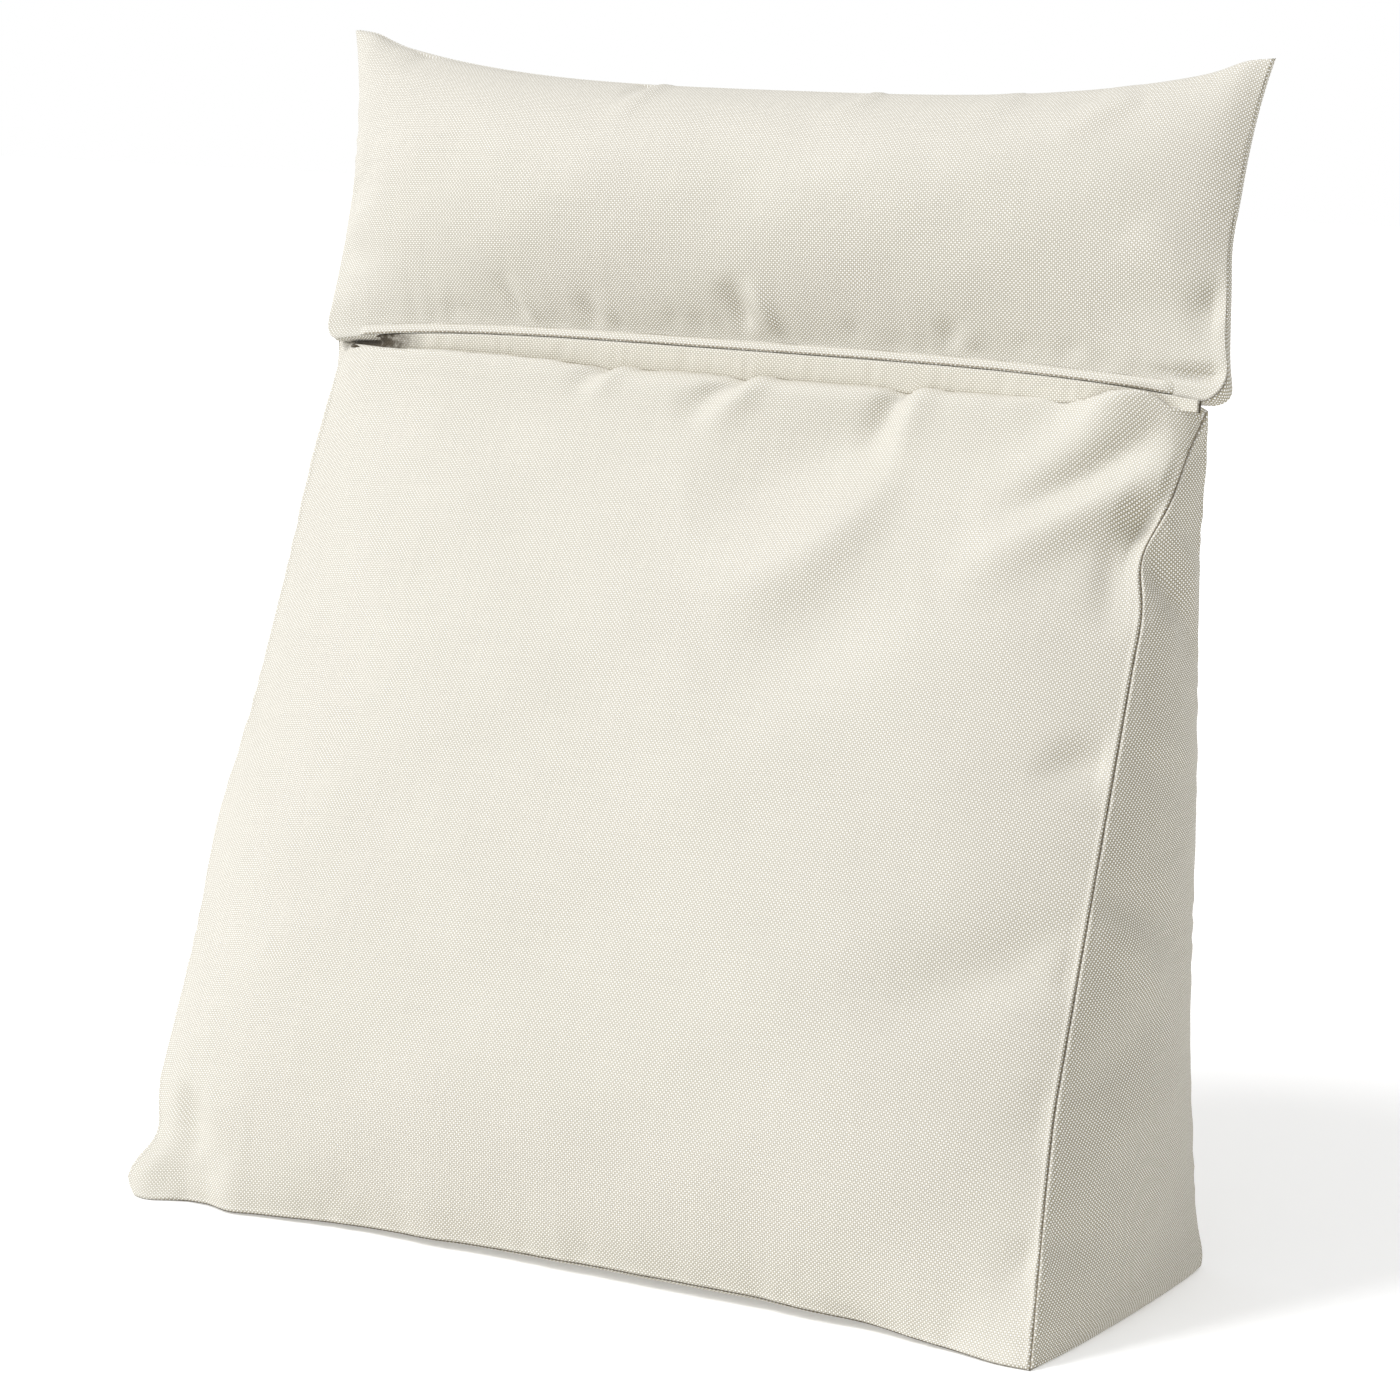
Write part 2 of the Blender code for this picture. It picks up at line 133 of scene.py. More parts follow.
# Creases, one row each: where one starts and ends on its panel (x and z, or y and z on a
# gusset), how far it bows to its left side, where along it is deepest, its breadth and its height
FRONT_FOLDS = (
    # x0,     z0,     x1,     z1,     bow,    peak, breadth, height
    (-0.097, 0.476, -0.109, 0.466, 0.000, 0.35, 0.0050, -0.0008),
    (-0.068, 0.476, -0.101, 0.452, 0.000, 0.40, 0.0055, -0.0036),
    (-0.059, 0.475, -0.087, 0.450, 0.000, 0.40, 0.0060, 0.0018),
    (-0.047, 0.477, -0.059, 0.467, 0.000, 0.35, 0.0045, -0.0014),
    (0.020, 0.474, -0.025, 0.444, 0.000, 0.40, 0.0065, -0.0048),
    (0.033, 0.472, -0.008, 0.440, 0.000, 0.40, 0.0085, 0.0030),
    (0.119, 0.479, 0.095, 0.430, 0.000, 0.36, 0.0090, -0.0064),
    (0.130, 0.477, 0.114, 0.429, 0.000, 0.35, 0.0110, 0.0026),
    (0.230, 0.482, 0.235, 0.472, 0.000, 0.40, 0.0045, -0.0020),
    (0.187, 0.478, 0.160, 0.465, 0.000, 0.35, 0.0080, -0.0012),
    (0.221, 0.477, 0.187, 0.450, 0.000, 0.35, 0.0110, -0.0016),
    (0.116, 0.451, -0.004, 0.400, 0.004, 0.45, 0.0260, -0.0058),
    (0.126, 0.430, 0.018, 0.348, 0.014, 0.50, 0.0200, 0.0064),
    (0.151, 0.371, 0.028, 0.308, 0.004, 0.50, 0.0300, -0.0038),
    (0.265, 0.480, 0.172, 0.399, -0.004, 0.45, 0.0160, 0.0046),
    (0.273, 0.456, 0.178, 0.403, 0.000, 0.40, 0.0085, -0.0050),
    (0.287, 0.444, 0.162, 0.367, -0.004, 0.38, 0.0140, 0.0084),
    (0.252, 0.422, 0.297, 0.401, -0.006, 0.60, 0.0160, -0.0150),
    (0.249, 0.406, 0.261, 0.355, 0.000, 0.45, 0.0095, -0.0036),
    (0.258, 0.412, 0.287, 0.369, -0.004, 0.50, 0.0070, 0.0018),
    (0.284, 0.404, 0.284, 0.362, 0.000, 0.45, 0.0080, -0.0040),
    (0.232, 0.281, 0.276, 0.296, 0.002, 0.60, 0.0105, -0.0046),
    (0.273, 0.304, 0.293, 0.271, -0.004, 0.50, 0.0080, 0.0026),
    (0.287, 0.228, 0.273, 0.176, 0.006, 0.50, 0.0125, -0.0046),
    (0.278, 0.211, 0.257, 0.182, 0.000, 0.45, 0.0110, 0.0018),
    (0.281, 0.213, 0.164, 0.152, 0.004, 0.40, 0.0200, -0.0040),
    (0.284, 0.137, 0.261, 0.099, 0.000, 0.40, 0.0140, -0.0016),
    (0.290, 0.062, 0.262, 0.034, 0.000, 0.35, 0.0100, -0.0020),
    (-0.268, 0.060, -0.244, 0.026, 0.003, 0.45, 0.0085, -0.0034),
    (-0.250, 0.064, -0.226, 0.026, 0.003, 0.50, 0.0110, 0.0014),
    (-0.286, 0.152, -0.250, 0.140, 0.000, 0.30, 0.0110, -0.0010),
    (-0.288, 0.270, -0.252, 0.264, 0.000, 0.30, 0.0120, -0.0010),
    (-0.150, 0.010, -0.138, 0.034, 0.000, 0.30, 0.0080, -0.0006),
    (0.020, 0.010, 0.014, 0.034, 0.000, 0.30, 0.0080, -0.0006),
    (0.150, 0.010, 0.158, 0.034, 0.000, 0.30, 0.0080, -0.0006),
)
GUSSET_FOLDS = (
    # y0,     z0,    x1,     z1,    bow,    peak, breadth, height
    (0.058, 0.410, 0.096, 0.342, 0.000, 0.45, 0.0090, -0.0052),
    (0.072, 0.420, 0.104, 0.372, 0.000, 0.45, 0.0080, 0.0030),
    (-0.018, 0.236, 0.074, 0.184, 0.004, 0.40, 0.0150, -0.0034),
    (-0.010, 0.214, 0.062, 0.160, 0.004, 0.40, 0.0150, 0.0024),
    (-0.040, 0.128, 0.070, 0.160, 0.004, 0.45, 0.0170, -0.0030),
    (-0.020, 0.100, 0.080, 0.110, 0.004, 0.45, 0.0160, 0.0024),
    (-0.084, 0.066, 0.016, 0.036, 0.000, 0.35, 0.0150, -0.0026),
    (0.030, 0.300, 0.090, 0.262, 0.000, 0.45, 0.0130, -0.0022),
)
BACK_FOLDS = (
    # x0,     z0,     x1,     z1,     bow,    peak, breadth, height
    (-0.250, 0.462, -0.205, 0.385, 0.006, 0.35, 0.0130, -0.0040),
    (-0.236, 0.468, -0.176, 0.412, 0.006, 0.40, 0.0130, 0.0030),
    (0.248, 0.464, 0.190, 0.396, -0.006, 0.35, 0.0140, -0.0042),
    (0.226, 0.470, 0.150, 0.430, -0.004, 0.40, 0.0120, 0.0028),
    (-0.120, 0.468, -0.104, 0.430, 0.000, 0.30, 0.0100, -0.0026),
    (-0.030, 0.468, -0.044, 0.425, 0.000, 0.30, 0.0110, -0.0030),
    (0.062, 0.468, 0.070, 0.436, 0.000, 0.30, 0.0090, -0.0024),
    (0.278, 0.300, 0.150, 0.270, 0.010, 0.30, 0.0220, -0.0036),
    (0.280, 0.262, 0.170, 0.222, 0.008, 0.35, 0.0200, 0.0028),
    (-0.280, 0.236, -0.166, 0.262, -0.008, 0.30, 0.0200, -0.0034),
    (-0.278, 0.150, -0.180, 0.118, 0.006, 0.30, 0.0180, -0.0026),
    (0.272, 0.022, 0.190, 0.090, -0.006, 0.30, 0.0150, -0.0040),
    (-0.274, 0.022, -0.200, 0.086, 0.006, 0.30, 0.0150, -0.0038),
    (-0.090, 0.012, -0.070, 0.052, 0.000, 0.30, 0.0120, -0.0018),
    (0.060, 0.012, 0.044, 0.048, 0.000, 0.30, 0.0120, -0.0018),
)

# How the cloth lies beside a seam: drawn in at the stitches, rolled just beside them, and
# puckered for a short way from them
SEAM_GROOVE = (0.0012, 0.0008)
SEAM_ROLL = (0.0005, 0.0020, 0.0012)
PUCKER_HEIGHT = 0.0006
PUCKER_REACH = 0.011
CREASE_FADE = 120.0
RIDGE_FADE = 0.016
SIDE_PUCKER_PITCH = 0.019
END_PUCKER_PITCH = 0.021
LUMP_HEIGHT = 0.0003
FRONT_LUMP = 0.16
BACK_LUMP = 0.13
GUSSET_LUMP = 0.09
COVER_OVER_FLOOR = 0.0002


def mix(low, high, share):
    """The value that lies a share of the way from low to high."""
    return low + (high - low) * share


def ramp(value, steepness):
    """Rises from 0 to 1 and stays there; the steeper, the sooner it is full."""
    return np.clip(steepness * value, 0.0, 1.0)


def bump(value, centre, reach):
    """A soft bump of height 1 at the centre, which fades out over its reach."""
    return np.exp(-((value - centre) / reach) ** 2)


def crown(across):
    """How a panel swells from its left seam (-1) to its right one (1)."""
    fullness, steepness = (np.where(across > 0.0, *pair) for pair in zip(CROWN_RIGHT, CROWN_LEFT))
    return np.clip(1.0 - abs(across) ** fullness, 0.0, 1.0) ** steepness


def swell(share, ends):
    """A swell from 0 to 1 up a panel; the smaller the number for an end, the steeper that end is."""
    low, high = ends
    peak = low / (low + high)
    share = np.clip(share, 0.0, 1.0)
    return (share / peak) ** low * ((1.0 - share) / (1.0 - peak)) ** high


def relief_of(folds, across, up):
    """How far the creases of a panel move its cloth out, or in, at each place."""
    relief = np.zeros_like(across)
    for start_a, start_b, end_a, end_b, bow, peak, breadth, height in folds:
        run_a, run_b = end_a - start_a, end_b - start_b
        length = hypot(run_a, run_b)
        along = ((across - start_a) * run_a + (up - start_b) * run_b) / length ** 2
        along = np.clip(along, 0.0, 1.0)
        side = ((up - start_b) * run_a - (across - start_a) * run_b) / length
        side = side - bow * 4.0 * along * (1.0 - along)
        depth = np.sin(pi * along ** (log(0.5) / log(peak)))
        relief += height * depth * bump(side, 0.0, breadth * mix(0.65, 1.25, along))
    return relief


def puckers(run, gap, pitch, phase):
    """Small gathers beside a seam: run is the way along it and gap the way from it."""
    wave = np.sin(2.0 * pi * run / pitch + 1.7 * np.sin(2.0 * pi * run / (3.7 * pitch) + phase))
    uneven = 0.55 + 0.45 * np.sin(2.0 * pi * run / (6.1 * pitch) + 2.0 * phase)
    return PUCKER_HEIGHT * wave * uneven * ramp(gap, 400.0) * np.exp(-gap / PUCKER_REACH)


def seam_profile(gap):
    """The groove of a seam and the roll of cloth beside it, by the way from the stitches."""
    depth, groove_reach = SEAM_GROOVE
    height, centre, roll_reach = SEAM_ROLL
    return height * bump(gap, centre, roll_reach) - depth * bump(gap, 0.0, groove_reach)


def lumps(a, b, size):
    """Soft unevenness of the filling, from a few crossing waves of unlike lengths."""
    a, b = 2.0 * pi * a / size, 2.0 * pi * b / size
    waves = np.sin(0.9 * a + 0.5 * b + 0.6) + np.sin(1.3 * b - 0.7 * a + 2.1)
    return waves + 0.6 * np.sin(1.9 * a + 1.4 * b + 4.0) + 0.5 * np.sin(2.3 * b - 1.6 * a + 1.0)


def drawn(rows, place):
    """The sum of the soft gathers of one table at each place along a seam."""
    return sum(depth * bump(place, centre, reach) for centre, reach, depth in rows)


def smooth_step(value):
    """Rises smoothly from 0 at 0 to 1 at 1."""
    value = np.clip(value, 0.0, 1.0)
    return value * value * (3.0 - 2.0 * value)


def ridge_height(x):
    """Height of the wedge's ridge seam, which sags between its two ends."""
    reach = RIDGE_HALF_WIDTH + RIDGE_SAG_CENTRE
    return RIDGE_HEIGHT - RIDGE_SAG * (1.0 - (abs(x - RIDGE_SAG_CENTRE) / reach) ** RIDGE_SAG_FULLNESS)


def wedge_ceiling(x, y):
    """How high the wedge may reach: up to its seat, and higher in front of the head cushion."""
    start, reach = CREST_RISE_PART
    crest = CREST_HEIGHT + CREST_RISE_RIGHT * smooth_step((x - start) / reach)
    return mix(SEAT_HEIGHT - GAP, crest, ramp(CREST_Y - y, CREST_STEEPNESS))


def wedge_between_seams(u, share, back_share):
    """Place on the wedge before its panels swell: u across, one share up and one to the back."""
    side = (u - LIFT_CENTRE) / np.where(u < LIFT_CENTRE, 1.0 + LIFT_CENTRE, 1.0 - LIFT_CENTRE)
    z_low = mix(CORNER_LIFT, SEAM_LIFT, np.clip(1.0 - side ** 2, 0.0, 1.0) ** LIFT_FULLNESS)
    x = u * mix(BASE_HALF_WIDTH, RIDGE_HALF_WIDTH, share)
    z = mix(z_low, ridge_height(x), share)
    bow = 4.0 * share * (1.0 - share)
    right = RIGHT_SEAM_DRAW * ramp(bow, RIGHT_SEAM_FULLNESS) + drawn(FRONT_RIGHT_DRAWS, z)
    left = LEFT_SEAM_DRAW * bow + drawn(FRONT_LEFT_DRAWS, z)
    left = left + RIDGE_END_ROUND * np.clip(share, 0.0, 1.0) ** RIDGE_END_SHARPNESS
    back = BACK_SEAM_DRAW * bow + np.where(u > 0.0, drawn(BACK_RIGHT_DRAWS, z), 0.0)
    draw = mix(np.where(u > 0.0, right, left), back, back_share)
    low = np.clip(1.0 - share, 0.0, 1.0) ** BASE_PUSH_FADE
    draw = draw - BASE_SIDE_PUSH * 4.0 * back_share * (1.0 - back_share) * low
    x = x - draw * u * abs(u) ** 3

    half_ridge = RIDGE_DEPTH * mix(0.5, RIDGE_END_SHARE, u * u)
    base_draw = BASE_SEAM_DRAW * (1.0 - u ** 4) * (1.0 - share) ** BASE_DRAW_FADE
    y_front = mix(base_draw - BASE_DEPTH / 2.0, RIDGE_Y - half_ridge, share)
    y_front = y_front - low * drawn(BASE_FRONT_PUSHES, u)
    y_back = mix((BASE_DEPTH - base_draw) / 2.0, RIDGE_Y + half_ridge, share)
    return x, mix(y_front, y_back, back_share), z


def wedge_place(u, v, w, full):
    """Places on the wedge cushion of points of the box, with its panels swollen so far."""
    share = (w + 1.0) / 2.0
    x, y, z = wedge_between_seams(u, share, (v + 1.0) / 2.0)
    front, back, side = v < -ON_PANEL, v > ON_PANEL, abs(u) > ON_PANEL
    ridge, base = w > ON_PANEL, w < -ON_PANEL

    out = full * FRONT_SWELL * crown(u) * swell(share, FRONT_SWELL_ENDS)
    below = np.clip(1.0 - share, 0.0, 1.0) / FRONT_ROLL_REACH
    rise, fall = (2.0 * below) ** 0.5, np.exp(0.5 - below)
    out = out + FRONT_ROLL * crown(u) * rise * fall
    lean = hypot(BASE_DEPTH / 2.0 + RIDGE_Y, RIDGE_HEIGHT)
    y = y - np.where(front, out * RIDGE_HEIGHT / lean, 0.0)
    z = z + np.where(front, out * (BASE_DEPTH / 2.0 + RIDGE_Y) / lean, 0.0)
    roll = np.where(front, rise * fall * (1.0 - u ** ROLL_END_SHARPNESS) ** 0.5, 0.0)
    (right_start, right_reach), (left_start, left_reach) = ROLL_RIGHT_PART, ROLL_LEFT_PART
    right_end = smooth_step((u - right_start) / right_reach)
    left_end = smooth_step((left_start - u) / left_reach)
    lift = ROLL_LIFT + ROLL_LIFT_LEFT * left_end + ROLL_LIFT_RIGHT * right_end
    y = y - ROLL_FORWARD_RIGHT * right_end * roll
    z = z + lift * roll

    y = y + np.where(back, full * BACK_SWELL * crown(u) * swell(share, BACK_SWELL_ENDS), 0.0)
    gusset = np.where(u > 0.0, RIGHT_GUSSET_SWELL, LEFT_GUSSET_SWELL) * swell(share, GUSSET_SWELL_ENDS)
    fullness, steepness = GUSSET_CROWN
    x = x + np.where(side, full * np.sign(u) * gusset * (1.0 - abs(v) ** fullness) ** steepness, 0.0)
    z = z + np.where(ridge, RIDGE_TOP_SWELL * (1.0 - v * v) * (1.0 - u ** 4), 0.0)
    from_sides, from_front, in_all = BASE_FLATTENING
    flat = ramp(ramp(1.0 - u * u, from_sides) * ramp(1.0 - v * v, from_front), in_all)
    z = np.where(base, z * (1.0 - flat), z)
    under = np.where(base, BASE_ROLL * 4.0 * flat * (1.0 - flat), 0.0)
    y = y - np.where(v < BASE_ROLL_FRONT, under, 0.0)
    x = x + np.where(abs(u) > BASE_ROLL_SIDES, under * np.sign(u), 0.0)
    return np.stack([x, y, np.minimum(z, wedge_ceiling(x, y))], axis=-1)


def stations(count):
    """Where the cuts of a grid lie between -1 and 1: closer together near the seams."""
    crowding, reach = GRID_CROWDING
    fine = np.linspace(0.0, 1.0, 4001)
    density = 1.0 + crowding * (np.exp(-fine / reach) + np.exp((fine - 1.0) / reach))
    reached = np.cumsum(density) - density[0]
    places = 2.0 * np.interp(np.linspace(0.0, reached[-1], count + 1), reached, fine) - 1.0
    return (places - places[::-1]) / 2.0


def gridded_box(name, cells):
    """A box from -1 to 1, subdivided into cells along its three directions."""
    bpy.ops.object.select_all(action="DESELECT")
    bpy.ops.mesh.primitive_cube_add(size=2.0)
    box = bpy.context.object
    box.name = name
    box.data.name = name
    bpy.ops.object.mode_set(mode="EDIT")
    bpy.ops.mesh.select_mode(type="EDGE")
    for axis, count in enumerate(cells):
        bpy.ops.mesh.select_all(action="DESELECT")
        mesh = bmesh.from_edit_mesh(box.data)
        for edge in mesh.edges:
            run = edge.verts[0].co - edge.verts[1].co
            edge.select_set(abs(run[axis]) > 1e-5)
        bmesh.update_edit_mesh(box.data)
        bpy.ops.mesh.subdivide(number_cuts=count - 1)
    bpy.ops.object.mode_set(mode="OBJECT")
    return box


def points_of(piece):
    """The places of a piece's vertices, one row each."""
    places = np.empty(3 * len(piece.data.vertices), np.float32)
    piece.data.vertices.foreach_get("co", places)
    return places.reshape(-1, 3).astype(float)


def set_points(piece, places):
    """Moves a piece's vertices to the given places."""
    piece.data.vertices.foreach_set("co", places.astype(np.float32).ravel())
    piece.data.update()


def normals_of(piece):
    """The direction out of the surface at each vertex."""
    out = np.empty(3 * len(piece.data.vertices), np.float32)
    piece.data.vertex_normals.foreach_get("vector", out)
    return out.reshape(-1, 3).astype(float)


def keep_value(piece, name, values):
    """Stores one number for each vertex, which subdivision carries to the new ones."""
    layer = piece.data.attributes.new(name, "FLOAT", "POINT")
    layer.data.foreach_set("value", values.astype(np.float32))


def kept_value(piece, name):
    """The numbers that keep_value stored, after any subdivision."""
    values = np.empty(len(piece.data.vertices), np.float32)
    piece.data.attributes[name].data.foreach_get("value", values)
    return values.astype(float)


def lay_out_panels(piece, cells, places, shape):
    """Gives the box its shape, its panels' weave map in metres, and each vertex its way to the seams.

    The map follows the cloth's own length on each panel, as the threads of a cut panel do. The
    threads run along the panel's middle line, and on a gusset along its back seam.
    """
    cuts = [stations(count) for count in cells]
    index = np.stack([
        np.rint((places[:, axis] + 1.0) * cells[axis] / 2.0).astype(int) for axis in range(3)
    ], axis=1)
    box_places = np.stack([cuts[axis][index[:, axis]] for axis in range(3)], axis=1)
    set_points(piece, shape(*box_places.T))

    corners = np.empty(len(piece.data.loops), np.int32)
    piece.data.loops.foreach_get("vertex_index", corners)
    faces = box_places[corners].reshape(-1, 4, 3)
    weave = np.zeros((len(corners), 2), np.float32)
    across_gap = np.full(len(places), 1.0)
    up_gap = np.full(len(places), 1.0)
    for axis in (2, 0, 1):
        for end in (-1.0, 1.0):
            a, b = {0: (1, 2), 1: (0, 2), 2: (0, 1)}[axis]
            grid = np.empty((len(cuts[a]), len(cuts[b]), 3))
            grid[..., axis] = end
            grid[..., a], grid[..., b] = np.meshgrid(cuts[a], cuts[b], indexing="ij")
            laid = shape(grid[..., 0], grid[..., 1], grid[..., 2])
            across = np.zeros(grid.shape[:2])
            up = np.zeros(grid.shape[:2])
            across[1:] = np.cumsum(np.linalg.norm(np.diff(laid, axis=0), axis=2), axis=0)
            up[:, 1:] = np.cumsum(np.linalg.norm(np.diff(laid, axis=1), axis=2), axis=1)

            on_panel = box_places[:, axis] == end
            rows, columns = index[on_panel, a], index[on_panel, b]
            across_gap[on_panel] = np.minimum(across, across[-1:] - across)[rows, columns]
            up_gap[on_panel] = np.minimum(up, up[:, -1:] - up)[rows, columns]
            panel_corners = np.repeat((faces[:, :, axis] == end).all(axis=1), 4)
            here = index[corners[panel_corners]]
            grain = len(cuts[a]) - 1 if axis == 0 else len(cuts[a]) // 2
            level = np.broadcast_to(up[grain], up.shape) if axis == 0 else up
            weave[panel_corners, 0] = (across - across[grain])[here[:, a], here[:, b]]
            weave[panel_corners, 1] = level[here[:, a], here[:, b]]

    piece.data.uv_layers[0].name = "weave"
    piece.data.uv_layers[0].uv.foreach_set("vector", weave.ravel())
    for name, values in zip("uvw", box_places.T):
        keep_value(piece, name, values)
    keep_value(piece, "across_gap", across_gap)
    keep_value(piece, "up_gap", up_gap)
    return box_places


def crease_seams(piece, box_places):
    """Keeps the seams, the edges of the box, sharp through subdivision."""
    ends = np.empty(2 * len(piece.data.edges), np.int32)
    piece.data.edges.foreach_get("vertices", ends)
    pairs = box_places[ends].reshape(-1, 2, 3)
    shared = ((abs(pairs) > ON_PANEL).all(axis=1) & (pairs[:, 0] == pairs[:, 1])).sum(axis=1)
    creases = piece.data.attributes.new("crease_edge", "FLOAT", "EDGE")
    creases.data.foreach_set("value", (shared > 1).astype(np.float32))


def evened(piece, moved, sewn):
    """Evens a movement out over neighbouring vertices, as loose fibre spreads a push."""
    ends = np.empty(2 * len(piece.data.edges), np.int32)
    piece.data.edges.foreach_get("vertices", ends)
    first, second = ends.reshape(-1, 2).T
    count = np.bincount(ends, minlength=len(moved))[:, None]
    for _ in range(SPREAD_ROUNDS):
        total = np.zeros_like(moved)
        np.add.at(total, first, moved[second])
        np.add.at(total, second, moved[first])
        moved = np.where(sewn[:, None], 0.0, total / count)
    return moved


def puff_up(piece, sewn, cap):
    """Lets the filling press the cover out between its sewn seams, and keeps the result."""
    start = points_of(piece)
    group = piece.vertex_groups.new(name="sewn")
    group.add([int(i) for i in np.flatnonzero(sewn)], 1.0, "REPLACE")
    cover = piece.modifiers.new("Cover", "CLOTH")
    for name, value in COVER_SETTINGS.items():
        setattr(cover.settings, name, value)
    cover.settings.effector_weights.gravity = 0.0
    cover.collision_settings.use_collision = False
    for step in range(1, PUFF_STEPS + 1):
        bpy.context.scene.frame_set(step)
    bpy.context.view_layer.objects.active = piece
    bpy.ops.object.modifier_apply(modifier=cover.name)
    bpy.context.scene.frame_set(1)
    moved = points_of(piece) - start
    reach = np.maximum(np.linalg.norm(moved, axis=1, keepdims=True), 1e-9)
    set_points(piece, start + evened(piece, moved * cap * np.tanh(reach / cap) / reach, sewn))


def subdivide(piece):
    """One round of smooth subdivision, which keeps the creased seams and the weave map."""
    finer = piece.modifiers.new("Finer", "SUBSURF")
    finer.levels = 1
    finer.render_levels = 1
    finer.uv_smooth = "NONE"
    bpy.context.view_layer.objects.active = piece
    bpy.ops.object.modifier_apply(modifier=finer.name)


def start_cushion(name, cells, place, start_full, cap, held):
    """A cushion up to its fine cloth: shaped, mapped, puffed up and subdivided."""
    cushion = gridded_box(name, cells)
    box_places = lay_out_panels(cushion, cells, points_of(cushion), lambda u, v, w: place(u, v, w, 1.0))
    crease_seams(cushion, box_places)
    set_points(cushion, place(*box_places.T, start_full))
    sewn = (abs(box_places) > ON_PANEL).sum(axis=1) > 1
    puff_up(cushion, sewn | held(*box_places.T), cap)
    subdivide(cushion)
    return cushion


def wedge_relief(cushion):
    """Works the creases, seams and puckers into the wedge's cover."""
    u, v, w = (kept_value(cushion, name) for name in "uvw")
    across_gap, up_gap = kept_value(cushion, "across_gap"), kept_value(cushion, "up_gap")
    x, y, z = wedge_between_seams(u, (w + 1.0) / 2.0, (v + 1.0) / 2.0)
    gap = np.minimum(across_gap, up_gap)
    front, back, side = v < -ON_PANEL, v > ON_PANEL, abs(u) > ON_PANEL
    near_ridge = smooth_step(up_gap / RIDGE_FADE)
    inside = ramp(gap, CREASE_FADE) * np.where(front & (w > 0.0), near_ridge, 1.0)
    out = np.zeros_like(u)
    out += np.where(front, relief_of(FRONT_FOLDS, x, z) * inside, 0.0)
    out += np.where(front, LUMP_HEIGHT * lumps(x, z, FRONT_LUMP) * ramp(gap, 25.0), 0.0)
    out += np.where(back, relief_of(BACK_FOLDS, x, z) * inside, 0.0)
    out += np.where(back, LUMP_HEIGHT * lumps(x + 0.3, z, BACK_LUMP) * ramp(gap, 25.0), 0.0)
    out += np.where(side & (u > 0.0), relief_of(GUSSET_FOLDS, y, z) * inside, 0.0)
    out += np.where(side, LUMP_HEIGHT * lumps(y + u, z, GUSSET_LUMP) * ramp(gap, 30.0), 0.0)
    out += np.where(front | back | side, puckers(z, across_gap, SIDE_PUCKER_PITCH, 1.0 + v), 0.0)
    out += np.where(front | back, puckers(x, up_gap, END_PUCKER_PITCH, 2.0 + v), 0.0)
    out += seam_profile(gap)
    out *= np.where(abs(w) > ON_PANEL, np.where(front | back | side, 0.4, 0.0), 1.0)
    # The way to the nearest seam, kept for the painted shade in the seam's recess
    keep_value(cushion, "seam_shade_way", gap)
    places = points_of(cushion) + normals_of(cushion) * out[:, None]
    lowest = np.where(w < -ON_PANEL, 0.0, COVER_OVER_FLOOR)
    places[:, 2] = np.clip(places[:, 2], lowest, wedge_ceiling(places[:, 0], places[:, 1]))
    set_points(cushion, places)


def set_inputs(node, values):
    """Sets a node's own values, by the names of its sockets."""
    for name, value in values.items():
        node.inputs[name].default_value = value


def node_chain(tree):
    """Helpers for one node tree: they add any node, a sum on numbers or sockets, noise or a range."""
    def add(kind, **values):
        node = tree.nodes.new(kind)
        for name, value in values.items():
            setattr(node, name, value)
        return node

    def sums(operation, *inputs):
        node = add("ShaderNodeMath", operation=operation)
        for socket, value in zip(node.inputs, inputs):
            if isinstance(value, bpy.types.NodeSocket):
                tree.links.new(value, socket)
            else:
                socket.default_value = value
        return node.outputs[0]

    def noise(place, scale, detail=2.0):
        node = add("ShaderNodeTexNoise")
        set_inputs(node, {"Scale": scale, "Detail": detail})
        tree.links.new(place, node.inputs["Vector"])
        return node.outputs["Fac"]

    def spread(value, from_ends, to_ends):
        node = add("ShaderNodeMapRange")
        set_inputs(node, dict(zip(("From Min", "From Max", "To Min", "To Max"), from_ends + to_ends)))
        tree.links.new(value, node.inputs["Value"])
        return node.outputs["Result"]

    return add, sums, noise, spread


THREAD_PITCH = 0.00116
THREAD_DRIFT = 0.0022
DRIFT_SCALE = 30.0
YARN_SCALE = 420.0
YARN_RUN_SCALE = 14.0
CLOUD_SCALE = 7.0
YARN_TONE = 0.06
CLOUD_TONE = 0.05
LEAST_TONE = 0.915
THREAD_RELIEF = 0.00025
# Painted shade in a seam's recess: the way from it within which it is painted, darkest at the first,
# and how finely noise breaks it into dashes
SEAM_SHADE_REACH = (0.0001, 0.0008)
SEAM_SHADE_BREAKS = 330.0
# Direction to the key light; the weave material also paints its light and shade by it
TOWARDS_LIGHT = (-0.50, -0.46, 0.73)
# How far a face is turned to the key light, from none to full, for the painted lit colours
LIT_SPAN = (-0.1, 0.8)
CLOTH_FINISH = {"Roughness": 0.88, "Specular IOR Level": 0.25, "Sheen Weight": 0.25,
                "Sheen Roughness": 0.55, "Sheen Tint": (1.0, 0.98, 0.94, 1.0)}
# Weave colours: the warp's own near-white, then weft and gaps between threads in painted shade, and
# their painted lit copies for faces turned to the key light
WARP = (0.930, 0.915, 0.870, 1.0)
WEFT_IN_SHADE = (0.430, 0.395, 0.290, 1.0)
WEFT_LIT = (0.690, 0.660, 0.580, 1.0)
SHADE_BETWEEN_THREADS = (0.200, 0.170, 0.110, 1.0)
BETWEEN_LIT = (0.520, 0.485, 0.400, 1.0)
# Near-black of the painted shade in a seam's recess
PAINTED_SEAM_SHADE = (0.060, 0.045, 0.025, 1.0)


